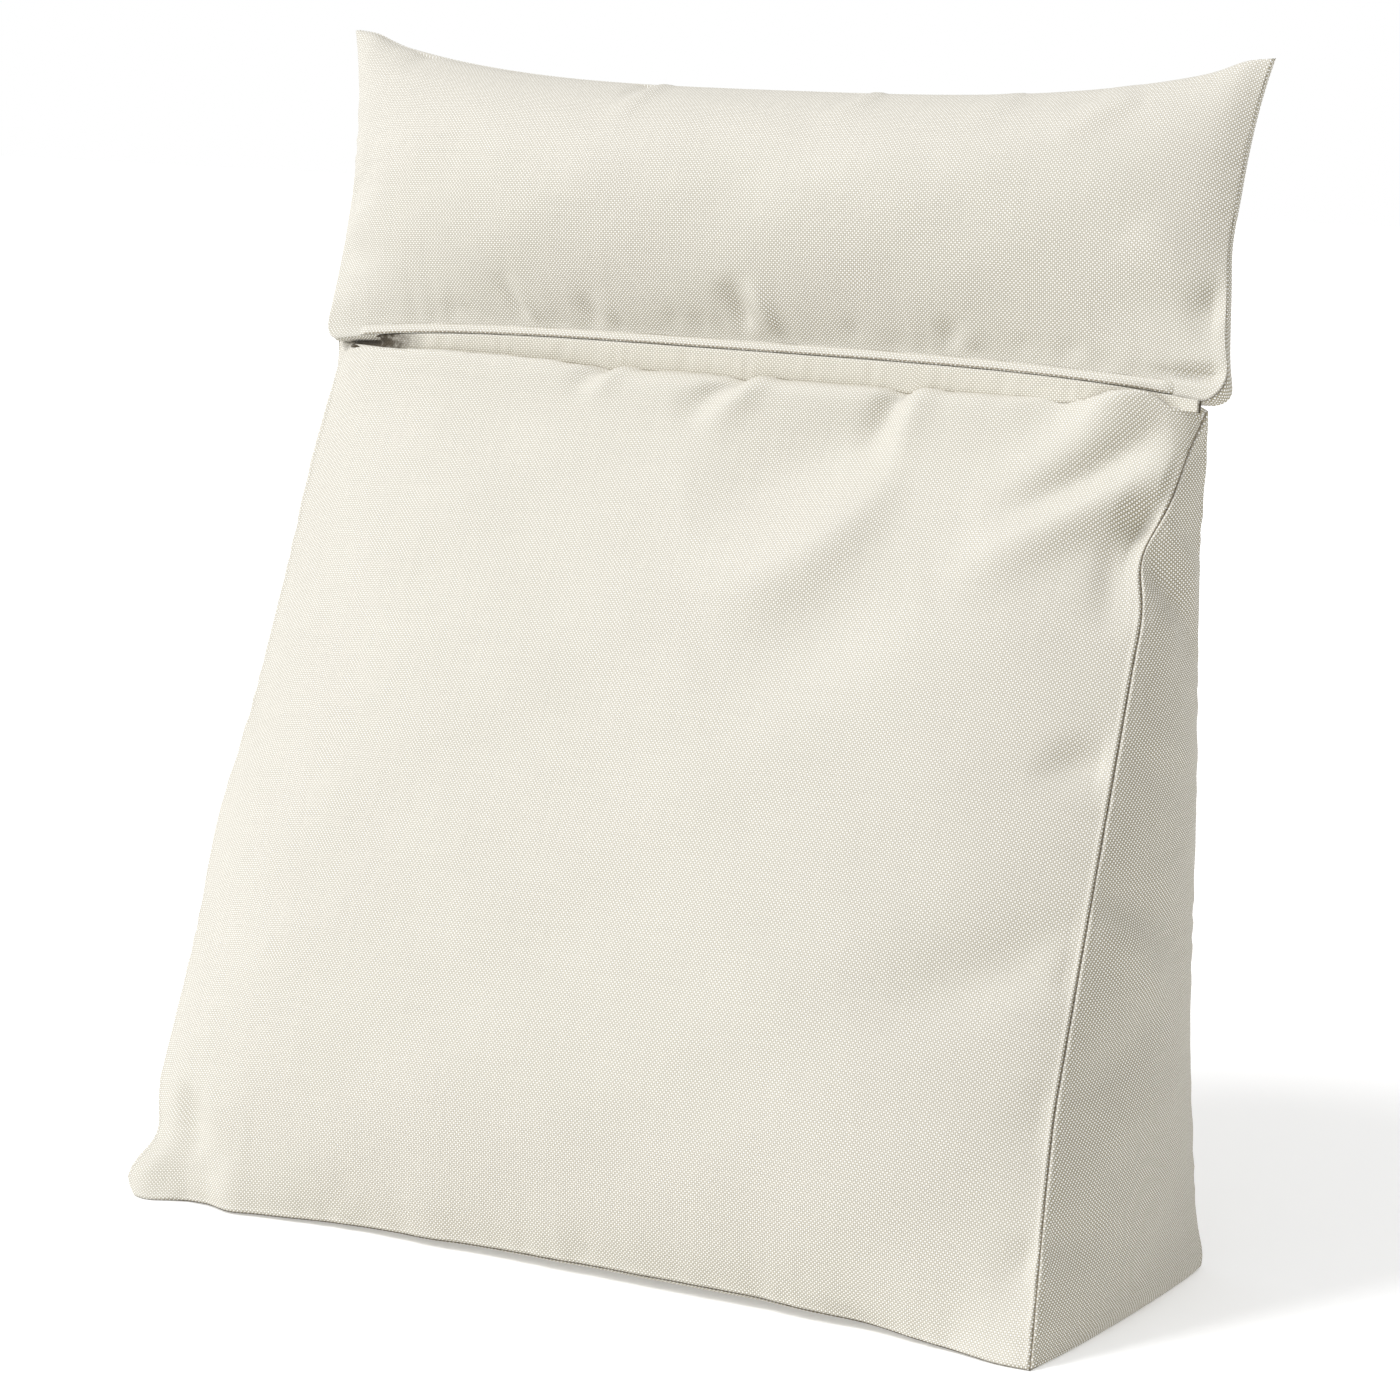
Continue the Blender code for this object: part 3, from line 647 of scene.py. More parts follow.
def weave_material(name, warp, weft, between):
    """Plain weave: light warp floats over weft painted darker as in shade, with painted shade between
    the threads; each float a small hump, with uneven yarn.

    Painted light: the weft and the gaps are painted paler where a panel is turned to the key light at
    the upper left.
    """
    material = bpy.data.materials.new(name)
    material.use_nodes = True
    tree = material.node_tree
    shader = tree.nodes["Principled BSDF"]
    add, sums, noise, spread = node_chain(tree)

    place = add("ShaderNodeUVMap", uv_map="weave").outputs["UV"]
    split = add("ShaderNodeSeparateXYZ")
    tree.links.new(place, split.inputs["Vector"])
    shift = sums("MULTIPLY", sums("SUBTRACT", noise(place, DRIFT_SCALE), 0.5), THREAD_DRIFT)
    turn = pi / THREAD_PITCH
    across = sums("SINE", sums("MULTIPLY", sums("ADD", split.outputs["X"], shift), turn))
    up = sums("SINE", sums("MULTIPLY", sums("ADD", split.outputs["Y"], shift), turn))
    over = sums("MULTIPLY", across, up)
    hump = sums("POWER", sums("ABSOLUTE", over), 0.5)

    # Painted light: how squarely each face is turned to the key light
    faces_out = add("ShaderNodeNewGeometry")
    to_light = add("ShaderNodeVectorMath", operation="DOT_PRODUCT")
    to_light.inputs[1].default_value = Vector(TOWARDS_LIGHT).normalized()
    tree.links.new(faces_out.outputs["Normal"], to_light.inputs[0])
    lit = spread(to_light.outputs["Value"], LIT_SPAN, (0.0, 1.0))

    def blend(share, low, high):
        node = add("ShaderNodeMix", data_type="RGBA")
        tree.links.new(share, node.inputs["Factor"])
        for socket, colour in ((node.inputs["A"], low), (node.inputs["B"], high)):
            if isinstance(colour, bpy.types.NodeSocket):
                tree.links.new(colour, socket)
            else:
                socket.default_value = colour
        return node.outputs["Result"]

    # Painted light and shade: weft and gaps take their lit copies on faces turned to the key light,
    # their shaded ones elsewhere
    under = blend(lit, weft, WEFT_LIT)
    gap = blend(lit, between, BETWEEN_LIT)
    threads = blend(sums("MULTIPLY_ADD", over, 4.0, 0.5), under, warp)
    # Painted shade in the low places between the floats, where the hump is small
    colours = blend(sums("MULTIPLY_ADD", hump, 2.6, -0.75), gap, threads)

    def streaks(across_scale, up_scale):
        """Uneven yarn: noise that is drawn out along the weave map's smaller scale."""
        node = add("ShaderNodeCombineXYZ")
        tree.links.new(sums("MULTIPLY", split.outputs["X"], across_scale), node.inputs["X"])
        tree.links.new(sums("MULTIPLY", split.outputs["Y"], up_scale), node.inputs["Y"])
        return noise(node.outputs["Vector"], 1.0, 3.0)

    uneven = sums("ADD", streaks(YARN_SCALE, YARN_RUN_SCALE), streaks(YARN_RUN_SCALE, YARN_SCALE))
    yarn_tone = sums("MULTIPLY_ADD", uneven, YARN_TONE, LEAST_TONE)
    tone = add("ShaderNodeHueSaturation")
    value = sums("MULTIPLY_ADD", noise(place, CLOUD_SCALE, 4.0), CLOUD_TONE, yarn_tone)
    tree.links.new(value, tone.inputs["Value"])
    tree.links.new(colours, tone.inputs["Color"])
    # Painted shade in the recesses of the seams, and along the other shade lines kept in the same
    # attribute, broken by noise
    way_to_seam_shade = add("ShaderNodeAttribute", attribute_name="seam_shade_way")
    slit = spread(way_to_seam_shade.outputs["Fac"], SEAM_SHADE_REACH, (1.0, 0.0))
    dark = sums("MULTIPLY", slit, sums("MULTIPLY_ADD", noise(place, SEAM_SHADE_BREAKS), 1.6, 0.3))
    tree.links.new(blend(dark, tone.outputs["Color"], PAINTED_SEAM_SHADE), shader.inputs["Base Color"])

    height = sums("ADD", hump, sums("MULTIPLY", over, 0.35))
    relief = add("ShaderNodeBump")
    set_inputs(relief, {"Strength": 0.8, "Distance": THREAD_RELIEF})
    tree.links.new(sums("ADD", height, sums("MULTIPLY", uneven, 0.25)), relief.inputs["Height"])
    tree.links.new(relief.outputs["Normal"], shader.inputs["Normal"])
    set_inputs(shader, CLOTH_FINISH)
    return material


def finish_piece(piece, material, slot_name, *nodes):
    """Smooth shading, material and the frame's calls for one piece."""
    piece.data.materials.clear()
    piece.data.materials.append(material)
    piece.data.shade_smooth()
    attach(piece, "root")
    if nodes:
        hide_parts(*nodes)


cover_cloth = weave_material("cover_cloth", WARP, WEFT_IN_SHADE, SHADE_BETWEEN_THREADS)
wedge = start_cushion("wedge_cover", WEDGE_CELLS, wedge_place, WEDGE_START, WEDGE_CAP,
                      lambda u, v, w: w < -ON_PANEL)
wedge_relief(wedge)
finish_piece(wedge, cover_cloth, "cover_cloth", "wedge_cushion")

# Head cushion: the upper cushion, two panels of the same weave sewn round their edges to a knife
# edge and filled with loose fibre. It stands on the wedge's ridge and leans back, its upper
# corners stand up as ears, and its lower seam is held by the stitched lap.

HEAD_TOP_HALF_WIDTH = 0.299
HEAD_RIGHT_HALF_WIDTH = 0.2905
HEAD_LEFT_HALF_WIDTH = 0.2775
HEAD_FOOT_RIGHT_HALF_WIDTH = 0.3035
HEAD_FOOT_LEFT_HALF_WIDTH = 0.2830
HEAD_EAR_HEIGHT = 0.657
HEAD_TOP_HEIGHT = 0.6315
HEAD_TOP_Y = 0.139
HEAD_EAR_Y = 0.147
HEAD_EAR_FULLNESS = (0.950, 0.040, 0.0026)
HEAD_FOOT_HEIGHT = 0.4910
HEAD_FOOT_END_HEIGHT = 0.4796
HEAD_FOOT_RIGHT_CORNER = 0.018
HEAD_FOOT_LEFT_CORNER = 0.009
HEAD_FOOT_Y = 0.0880
HEAD_FOOT_DEPTH = 0.036
HEAD_FOOT_END_DEPTH = 0.0075
HEAD_SLOPE = hypot(HEAD_TOP_Y - HEAD_FOOT_Y, HEAD_TOP_HEIGHT - HEAD_FOOT_HEIGHT)
HEAD_BACK_THINNING = 1.6
HEAD_SEAT_STEEPNESS = 4.0
HEAD_SEAT_ROUNDING = 2.5
HEAD_EDGE_THICKNESS = 0.0045
HEAD_SEAM_PLACE = -0.60
HEAD_TOP_SEAM_PLACE = 0.40
HEAD_TOP_ROWS = 0.99
# Depth and reach of the groove of the knife edge's seam
EDGE_GROOVE = (0.0010, 0.25)
# How far the knife edge's painted seam shade is held back: at the sides, and further along the top
EDGE_SHADE_WAY = 0.0003
TOP_EDGE_SHADE_WAY = 0.0004
HEAD_RIGHT_DRAWS = ((0.560, 0.018, 0.0018), (0.495, 0.009, -0.0026))
HEAD_FRONT_SWELL = 0.041
HEAD_FRONT_SWELL_ENDS = (0.95, 0.58)
HEAD_BACK_SWELL = 0.040
HEAD_BACK_SWELL_ENDS = (0.50, 0.80)
LAP_HEIGHT = 0.0042
LAP_END_HEIGHT = 0.0080
LAP_MARGIN = 0.0012
LAP_ROW = -0.926
LAP_FADE = 450.0
HEAD_LUMP = 0.12
LAP_PUCKER_PITCH = 0.018
HEAD_SIDE_PUCKER_PITCH = 0.016
HEAD_BACK_PUCKER_PITCH = 0.019
HEAD_CELLS = (90, 6, 30)
HEAD_START = 0.90
HEAD_CAP = 0.0045

HEAD_FOLDS = (
    # x0,     z0,    x1,     z1,    bow,   peak, breadth, height
    (0.012, 0.501, -0.001, 0.525, 0.000, 0.35, 0.0070, -0.0046),
    (0.031, 0.501, 0.016, 0.525, 0.000, 0.38, 0.0045, 0.0034),
    (-0.137, 0.498, -0.157, 0.520, 0.000, 0.35, 0.0045, -0.0026),
    (-0.129, 0.498, -0.147, 0.518, 0.000, 0.35, 0.0045, 0.0016),
    (-0.088, 0.499, -0.101, 0.513, 0.000, 0.35, 0.0055, -0.0018),
    (-0.076, 0.500, -0.087, 0.513, 0.000, 0.35, 0.0040, 0.0012),
    (-0.187, 0.496, -0.193, 0.507, 0.000, 0.35, 0.0040, -0.0010),
    (-0.176, 0.496, -0.183, 0.506, 0.000, 0.35, 0.0040, -0.0010),
    (-0.034, 0.500, -0.039, 0.509, 0.000, 0.35, 0.0045, -0.0010),
    (-0.018, 0.500, -0.023, 0.508, 0.000, 0.35, 0.0045, -0.0010),
    (-0.008, 0.499, -0.012, 0.507, 0.000, 0.35, 0.0040, -0.0008),
    (0.081, 0.500, 0.077, 0.509, 0.000, 0.35, 0.0050, -0.0014),
    (0.140, 0.499, 0.139, 0.513, 0.000, 0.35, 0.0060, -0.0024),
    (0.154, 0.499, 0.149, 0.512, 0.000, 0.35, 0.0050, 0.0016),
    (0.187, 0.499, 0.183, 0.507, 0.000, 0.35, 0.0050, -0.0010),
    (0.214, 0.498, 0.211, 0.508, 0.000, 0.35, 0.0060, -0.0012),
    (0.246, 0.491, 0.304, 0.4950, -0.002, 0.60, 0.0044, -0.0080),
    (0.300, 0.538, 0.276, 0.516, 0.000, 0.40, 0.0110, -0.0036),
    (0.285, 0.531, 0.242, 0.565, 0.000, 0.45, 0.0150, 0.0028),
    (-0.080, 0.634, -0.095, 0.623, 0.000, 0.35, 0.0050, -0.0026),
    (-0.071, 0.633, -0.091, 0.600, 0.000, 0.35, 0.0080, 0.0024),
    (-0.234, 0.650, -0.254, 0.635, 0.000, 0.35, 0.0060, -0.0020),
    (0.070, 0.632, 0.046, 0.609, 0.000, 0.35, 0.0090, 0.0020),
    (0.062, 0.633, 0.044, 0.619, 0.000, 0.35, 0.0060, -0.0012),
    (0.159, 0.632, 0.131, 0.615, 0.000, 0.35, 0.0090, 0.0018),
    (0.229, 0.635, 0.186, 0.612, 0.000, 0.35, 0.0100, 0.0024),
    (0.209, 0.636, 0.185, 0.624, 0.000, 0.35, 0.0060, -0.0014),
    (-0.284, 0.560, -0.246, 0.572, 0.000, 0.30, 0.0110, -0.0026),
    (-0.284, 0.530, -0.230, 0.520, 0.000, 0.30, 0.0120, -0.0020),
)
HEAD_BACK_FOLDS = (
    # x0,     z0,    x1,     z1,    bow,   peak, breadth, height
    (-0.262, 0.634, -0.205, 0.590, 0.004, 0.35, 0.0120, -0.0034),
    (0.262, 0.634, 0.200, 0.586, -0.004, 0.35, 0.0120, -0.0036),
    (-0.210, 0.484, -0.196, 0.520, 0.000, 0.30, 0.0090, -0.0030),
    (-0.094, 0.484, -0.106, 0.526, 0.000, 0.30, 0.0100, -0.0032),
    (0.016, 0.484, 0.024, 0.518, 0.000, 0.30, 0.0080, -0.0026),
    (0.124, 0.484, 0.110, 0.528, 0.000, 0.30, 0.0100, -0.0034),
    (0.216, 0.484, 0.226, 0.522, 0.000, 0.30, 0.0090, -0.0028),
    (-0.040, 0.628, -0.052, 0.600, 0.000, 0.30, 0.0080, -0.0020),
    (0.086, 0.628, 0.076, 0.602, 0.000, 0.30, 0.0080, -0.0020),
    (0.276, 0.560, 0.200, 0.548, 0.000, 0.30, 0.0130, -0.0026),
    (-0.272, 0.556, -0.205, 0.548, 0.000, 0.30, 0.0130, -0.0026),
)


def head_half_width(right, share):
    """Half width of the head cushion: drawn in at the sides, wider at the ears and the foot."""
    side = np.where(right, HEAD_RIGHT_HALF_WIDTH, HEAD_LEFT_HALF_WIDTH)
    foot = np.where(right, HEAD_FOOT_RIGHT_HALF_WIDTH, HEAD_FOOT_LEFT_HALF_WIDTH)
    ear_share = np.where(right, share ** 5, share ** 3)
    corner = np.where(right, HEAD_FOOT_RIGHT_CORNER, HEAD_FOOT_LEFT_CORNER)
    inset = np.clip(corner - share * HEAD_SLOPE, 0.0, corner)
    rounded = corner - (corner ** 2 - inset ** 2) ** 0.5
    ear, foot = (HEAD_TOP_HALF_WIDTH - side) * ear_share, (foot - side) * (1.0 - share) ** 3
    return side + ear + foot - rounded


def foot_height(u):
    """Height of the head cushion's lower front seam."""
    return mix(HEAD_FOOT_HEIGHT, HEAD_FOOT_END_HEIGHT, abs(u) ** 4)


def foot_share(x):
    """Where a place lies between the two ends of the head cushion's foot, from -1 to 1."""
    return x / np.where(x > 0.0, HEAD_FOOT_RIGHT_HALF_WIDTH, HEAD_FOOT_LEFT_HALF_WIDTH)


def lap_height(u):
    """Height of the stitched lap above that seam: it opens out towards the right end."""
    return mix(LAP_HEIGHT, LAP_END_HEIGHT, np.clip((u - 0.7) / 0.3, 0.0, 1.0) ** 2)


def head_between_seams(u, share):
    """Depth and height on the plane between the head cushion's lower and upper front seams."""
    y_top = mix(HEAD_TOP_Y, HEAD_EAR_Y, abs(u) ** 3)
    place, reach, rise = HEAD_EAR_FULLNESS
    z_top = mix(HEAD_TOP_HEIGHT, HEAD_EAR_HEIGHT, abs(u) ** 3.2) + rise * bump(abs(u), place, reach)
    return mix(HEAD_FOOT_Y, y_top, share), mix(foot_height(u), z_top, share)


def head_rows(u, w):
    """Share of the head cushion's height at each row, and the share of the part that swells."""
    lap_share = (lap_height(u) + LAP_MARGIN) / HEAD_SLOPE
    swelling = np.clip((w - LAP_ROW) / (1.0 - LAP_ROW), 0.0, 1.0)
    low_share = lap_share * (w + 1.0) / (LAP_ROW + 1.0)
    return np.where(w <= LAP_ROW, low_share, mix(lap_share, 1.0, swelling)), swelling


def head_place(u, v, w, full):
    """Places on the head cushion of points of the box, with its panels swollen so far."""
    share, swelling = head_rows(u, w)
    back_share = (v + 1.0) / 2.0
    y, z = head_between_seams(u, share)
    x = u * head_half_width(u > 0.0, share)
    x = x - np.where(u > 0.0, drawn(HEAD_RIGHT_DRAWS, z) * u ** 4, 0.0)
    foot_depth = mix(HEAD_FOOT_DEPTH, HEAD_FOOT_END_DEPTH, abs(u) ** 5)
    y = y + back_share * mix(foot_depth, HEAD_EDGE_THICKNESS, ramp(share, HEAD_BACK_THINNING))
    z = mix(z, mix(SEAT_HEIGHT, z, ramp(share, HEAD_SEAT_STEEPNESS)), back_share)

    front = full * HEAD_FRONT_SWELL * crown(u) * swell(swelling, HEAD_FRONT_SWELL_ENDS)
    back = full * HEAD_BACK_SWELL * crown(u) * swell(share, HEAD_BACK_SWELL_ENDS)
    out = np.where(v > ON_PANEL, back, 0.0) - np.where(v < -ON_PANEL, front, 0.0)
    y = y + out * (HEAD_TOP_HEIGHT - HEAD_FOOT_HEIGHT) / HEAD_SLOPE
    z = z - out * (HEAD_TOP_Y - HEAD_FOOT_Y) / HEAD_SLOPE
    seat = ramp(1.0 - v * v, HEAD_SEAT_ROUNDING) * (1.0 - u ** 6)
    z = np.where(w < -ON_PANEL, mix(z, SEAT_HEIGHT, seat), z)
    return np.stack([x, y, np.maximum(z, SEAT_HEIGHT)], axis=-1)


def head_relief(cushion):
    """Works the creases, seams and puckers into the head cushion's cover."""
    u, v, w = (kept_value(cushion, name) for name in "uvw")
    across_gap, up_gap = kept_value(cushion, "across_gap"), kept_value(cushion, "up_gap")
    share, swelling = head_rows(u, w)
    x = u * head_half_width(u > 0.0, share)
    y, z = head_between_seams(u, share)
    gap = np.minimum(across_gap, up_gap)
    front, back = v < -ON_PANEL, v > ON_PANEL
    lap_gap = np.where(front, swelling * HEAD_SLOPE, gap)
    inside = ramp(across_gap, CREASE_FADE) * ramp(lap_gap, LAP_FADE)
    out = np.where(front, relief_of(HEAD_FOLDS, x, z) * inside, 0.0)
    out += np.where(back, relief_of(HEAD_BACK_FOLDS, x, z) * inside, 0.0)
    out += np.where(front | back, LUMP_HEIGHT * lumps(x, z + v, HEAD_LUMP) * ramp(gap, 25.0), 0.0)
    out += np.where(front, 1.2 * puckers(x, lap_gap, LAP_PUCKER_PITCH, 0.5), 0.0)
    out += np.where(front | back, puckers(z, across_gap, HEAD_SIDE_PUCKER_PITCH, 1.5 + v), 0.0)
    out += np.where(back, puckers(x, up_gap, HEAD_BACK_PUCKER_PITCH, 2.5), 0.0)
    knife_edge = (abs(u) > ON_PANEL) | (w > ON_PANEL)
    top = w > HEAD_TOP_ROWS
    seam_place = np.where(top, HEAD_TOP_SEAM_PLACE, HEAD_SEAM_PLACE)
    depth, reach = EDGE_GROOVE
    out -= depth * np.where(knife_edge, bump(v, seam_place, reach), 0.0)
    # The way to the knife edge's seam line, for its painted shade: fainter along the top, and none away
    # from the edge
    way_to_edge_shade = abs(v - seam_place) * HEAD_EDGE_THICKNESS / 2.0 + np.where(top, TOP_EDGE_SHADE_WAY, 0.0)
    keep_value(cushion, "seam_shade_way", np.where(knife_edge, way_to_edge_shade + EDGE_SHADE_WAY, HEAD_EDGE_THICKNESS))
    places = points_of(cushion) + normals_of(cushion) * out[:, None]
    places[:, 2] = np.maximum(places[:, 2], SEAT_HEIGHT)
    set_points(cushion, places)


head = start_cushion("head_cover", HEAD_CELLS, head_place, HEAD_START, HEAD_CAP,
                     lambda u, v, w: (w < -ON_PANEL) | ((v < -ON_PANEL) & (w <= LAP_ROW + 0.02)))
head_relief(head)
finish_piece(head, cover_cloth, "cover_cloth", "head_cushion")

# Stitching of the wedge: the lockstitch of its seams, in spun thread a shade darker than the cloth,
# painted darker still with the shade of the seams' grooves.
# It shows as short dashes in the grooves of the front's two side seams, on the left one only
# along its lowest part.

STITCH_PITCH = 0.0030
STITCH_LENGTH = 0.0024
STITCH_RADIUS = 0.00035
STITCH_LIFT = 0.0003
LEFT_STITCHES_TOP = 0.125
# Thread colours: its own tone, darkened with painted shade of the seam grooves
THREAD_TONES_WITH_GROOVE_SHADE = ((0.200, 0.165, 0.110, 1.0), (0.360, 0.310, 0.225, 1.0))
THREAD_FIBRES = 1800.0


def thread_material():
    """Matt spun thread with a fine twist, painted darker than its own colour with the shade of the
    grooves it lies in.
    """
    material = bpy.data.materials.new("sewing_thread")
    material.use_nodes = True
    tree = material.node_tree
    shader = tree.nodes["Principled BSDF"]
    add, _, noise, _ = node_chain(tree)
    place = add("ShaderNodeTexCoord")
    colours = add("ShaderNodeValToRGB")
    for element, shade in zip(colours.color_ramp.elements, THREAD_TONES_WITH_GROOVE_SHADE):
        element.color = shade
    tree.links.new(noise(place.outputs["Object"], THREAD_FIBRES), colours.inputs["Fac"])
    tree.links.new(colours.outputs["Color"], shader.inputs["Base Color"])
    shader.inputs["Roughness"].default_value = 0.75
    return material


def seam_of(piece, **held):
    """A seam's points and the ways out of it, in order, from a finished cover."""
    box_places = {name: kept_value(piece, name) for name in "uvw"}
    on_seam = np.ones(len(piece.data.vertices), bool)
    for name, value in held.items():
        on_seam &= abs(box_places[name] - value) < 2e-3
    free = next(name for name in "wu" if name not in held)
    rows = np.flatnonzero(on_seam)
    rows = rows[np.argsort(box_places[free][rows])]
    return points_of(piece)[rows], normals_of(piece)[rows]


def stitches(name, seams, lift):
    """One mesh of short stitches along seams, each lying in its seam's groove."""
    bpy.ops.object.select_all(action="DESELECT")
    bpy.ops.mesh.primitive_uv_sphere_add(segments=6, ring_count=5, radius=1.0)
    pattern = bpy.context.object
    stitch_shape = points_of(pattern)
    sewn = bmesh.new()
    for points, ways_out in seams:
        run = np.concatenate([[0.0], np.cumsum(np.linalg.norm(np.diff(points, axis=0), axis=1))])
        for start in np.arange(STITCH_PITCH, run[-1] - STITCH_PITCH, STITCH_PITCH):
            ends = start + np.array([0.0, STITCH_LENGTH])
            a, b = (np.array([np.interp(end, run, points[:, k]) for k in range(3)]) for end in ends)
            out = np.array([np.interp(ends.mean(), run, ways_out[:, k]) for k in range(3)])
            along = (b - a) / np.linalg.norm(b - a)
            out = out - along * (out @ along)
            out = out / np.linalg.norm(out)
            aside = np.cross(out, along)
            shape = stitch_shape * np.array([STITCH_RADIUS, STITCH_RADIUS, STITCH_LENGTH / 2.0])
            placed = shape @ np.stack([aside, out, along]) + (a + b) / 2.0 + out * lift
            set_points(pattern, placed)
            sewn.from_mesh(pattern.data)
    thread = bpy.data.objects.new(name, bpy.data.meshes.new(name))
    bpy.context.scene.collection.objects.link(thread)
    sewn.to_mesh(thread.data)
    sewn.free()
    bpy.data.objects.remove(pattern, do_unlink=True)
    return thread


thread_finish = thread_material()
left_seam, left_ways = seam_of(wedge, u=-1.0, v=-1.0)
showing = left_seam[:, 2] < LEFT_STITCHES_TOP
side_seams = [(left_seam[showing], left_ways[showing]), seam_of(wedge, u=1.0, v=-1.0)]
wedge_stitches = stitches("wedge_stitches", side_seams, STITCH_LIFT)
finish_piece(wedge_stitches, thread_finish, "sewing_thread")

# Joining strip: a straight strip of the same weave, which runs along the ridge and holds the two
# covers together. It is sewn into the wedge's ridge seam, stands up in the shade between the two
# cushions, and its upper edge is caught in the head cushion's lower seam.

STRIP_THICKNESS = 0.0010
STRIP_LEFT_END = -0.264
STRIP_RIGHT_END = 0.290
# How far back the strip is tucked at its left end, and over how much of its length
STRIP_TUCK = (0.011, 0.040)
STRIP_SUNK = 0.0020
STRIP_LOW_Y = 0.0858
STRIP_LEAST_HEIGHT = 0.0030
STRIP_BEHIND_FOOT = 0.0010
STRIP_RIPPLE = 0.00035
STRIP_RIPPLE_PITCH = 0.0115
# The strip's way to its line of painted shade away from its ends, and where across and over how far the
# painted shade of its left end fades
STRIP_SHADE = (0.0009, -0.250, 0.055)
STRIP_END_STEEPNESS = 450.0
STRIP_CELLS = (220, 8)
CREST_OVER_RIDGE = 0.0025
CREST_SPANS = 55
CREST_MARGIN = 0.004
CREST_BACK_Y = 0.088
# The strip's weave colours, painted paler than the cover's same cloth as painted light against the
# shade it stands in
STRIP_WARP_PAINTED_PALER = (0.950, 0.930, 0.860, 1.0)
STRIP_WEFT_IN_SHADE_PAINTED_PALER = (0.600, 0.555, 0.435, 1.0)
STRIP_SHADE_BETWEEN_PAINTED_PALER = (0.300, 0.255, 0.175, 1.0)


def cloth_band(name, cells, place, thickness, length, way_to_seam_shade):
    """A band of cloth: a flat grid laid along its seam and thickened, its map in metres."""
    bpy.ops.object.select_all(action="DESELECT")
    bpy.ops.mesh.primitive_grid_add(x_subdivisions=cells[0], y_subdivisions=cells[1], size=1.0)
    band = bpy.context.object
    band.name = name
    band.data.name = name
    flat = points_of(band)[:, :2] + 0.5
    corners = np.empty(len(band.data.loops), np.int32)
    band.data.loops.foreach_get("vertex_index", corners)
    band.data.uv_layers[0].name = "weave"
    height = np.linalg.norm(place(flat[:, 0], 1.0) - place(flat[:, 0], 0.0), axis=1)
    weave = np.stack([flat[:, 0] * length, flat[:, 1] * height], axis=1)[corners]
    band.data.uv_layers[0].uv.foreach_set("vector", weave.astype(np.float32).ravel())
    set_points(band, place(flat[:, 0], flat[:, 1]))
    # Its way to a line of painted shade, for the weave material
    keep_value(band, "seam_shade_way", way_to_seam_shade(flat[:, 0], flat[:, 1] * height))
    bpy.ops.object.mode_set(mode="EDIT")
    bpy.ops.mesh.select_all(action="SELECT")
    bpy.ops.mesh.normals_make_consistent(inside=False)
    bpy.ops.object.mode_set(mode="OBJECT")
    depth = band.modifiers.new("Cloth thickness", "SOLIDIFY")
    depth.thickness = thickness
    depth.offset = 0.0
    bpy.ops.object.modifier_apply(modifier=depth.name)
    return band


def crest_of(cushion):
    """The roll along the top of the wedge's front: its foremost high points, from left to right."""
    u, v, w = (kept_value(cushion, name) for name in "uvw")
    places = points_of(cushion)[(v < -ON_PANEL) & (w > 0.9)]
    places = places[places[:, 1] < CREST_BACK_Y]
    edges = np.linspace(STRIP_LEFT_END - CREST_MARGIN, STRIP_RIGHT_END + CREST_MARGIN, CREST_SPANS + 1)
    middles = (edges[1:] + edges[:-1]) / 2.0
    heights = np.zeros(CREST_SPANS)
    for i in range(CREST_SPANS):
        here = places[(places[:, 0] > edges[i]) & (places[:, 0] < edges[i + 1])]
        heights[i] = here[:, 2].max(initial=0.0)
    return middles, np.maximum(heights, ridge_height(middles) + CREST_OVER_RIDGE)


crest_x, crest_z = crest_of(wedge)


def strip_place(along, up):
    """Places on the joining strip, from just behind the crest up to the head's lower seam."""
    x = mix(STRIP_LEFT_END, STRIP_RIGHT_END, along)
    z_high = foot_height(foot_share(x)) - GAP - STRIP_THICKNESS / 2.0
    z_low = np.minimum(np.interp(x, crest_x, crest_z), SEAT_HEIGHT) - STRIP_SUNK
    z_low = np.minimum(z_low, z_high - STRIP_LEAST_HEIGHT)
    wave = 2.0 * pi * x / STRIP_RIPPLE_PITCH + 2.4 * np.sin(2.0 * pi * x / 0.073)
    ripple = STRIP_RIPPLE * np.sin(wave) * (0.4 + np.sin(2.0 * pi * x / 0.041))
    depth, reach = STRIP_TUCK
    tucked = depth * (1.0 - smooth_step((x - STRIP_LEFT_END) / reach))
    y = mix(STRIP_LOW_Y, HEAD_FOOT_Y - STRIP_BEHIND_FOOT, up) + ripple * 4.0 * up * (1.0 - up)
    y = y + tucked * np.sin(pi * np.clip(up, 0.1, 0.9))
    return np.stack([x, y, mix(z_low, z_high, up)], axis=-1)


def strip_shade(along, up):
    """The strip's way to a line of painted shade: its left end is painted as in deep shade, and its
    right end with a painted slit of shade.
    """
    x = mix(STRIP_LEFT_END, STRIP_RIGHT_END, along)
    way, start, reach = STRIP_SHADE
    right_end = ramp(STRIP_RIGHT_END - x, STRIP_END_STEEPNESS)
    return way * np.minimum(smooth_step((x - start) / reach), right_end)


# The strip's weave, painted paler than the cover's
strip_cloth = weave_material("strip_cloth", STRIP_WARP_PAINTED_PALER, STRIP_WEFT_IN_SHADE_PAINTED_PALER, STRIP_SHADE_BETWEEN_PAINTED_PALER)
strip_length = STRIP_RIGHT_END - STRIP_LEFT_END
strip = cloth_band("joining_strip_cloth", STRIP_CELLS, strip_place, STRIP_THICKNESS,
                   strip_length, strip_shade)
finish_piece(strip, strip_cloth, "strip_cloth", "joining_strip")

# Seam lap: the seam allowance of the head cushion's lower edge, pressed flat and stitched down
# over the strip. It shows as a narrow band with a rolled upper edge and its own row of stitches,
# opens out at the right end, and both of its ends are turned in to the head cushion.

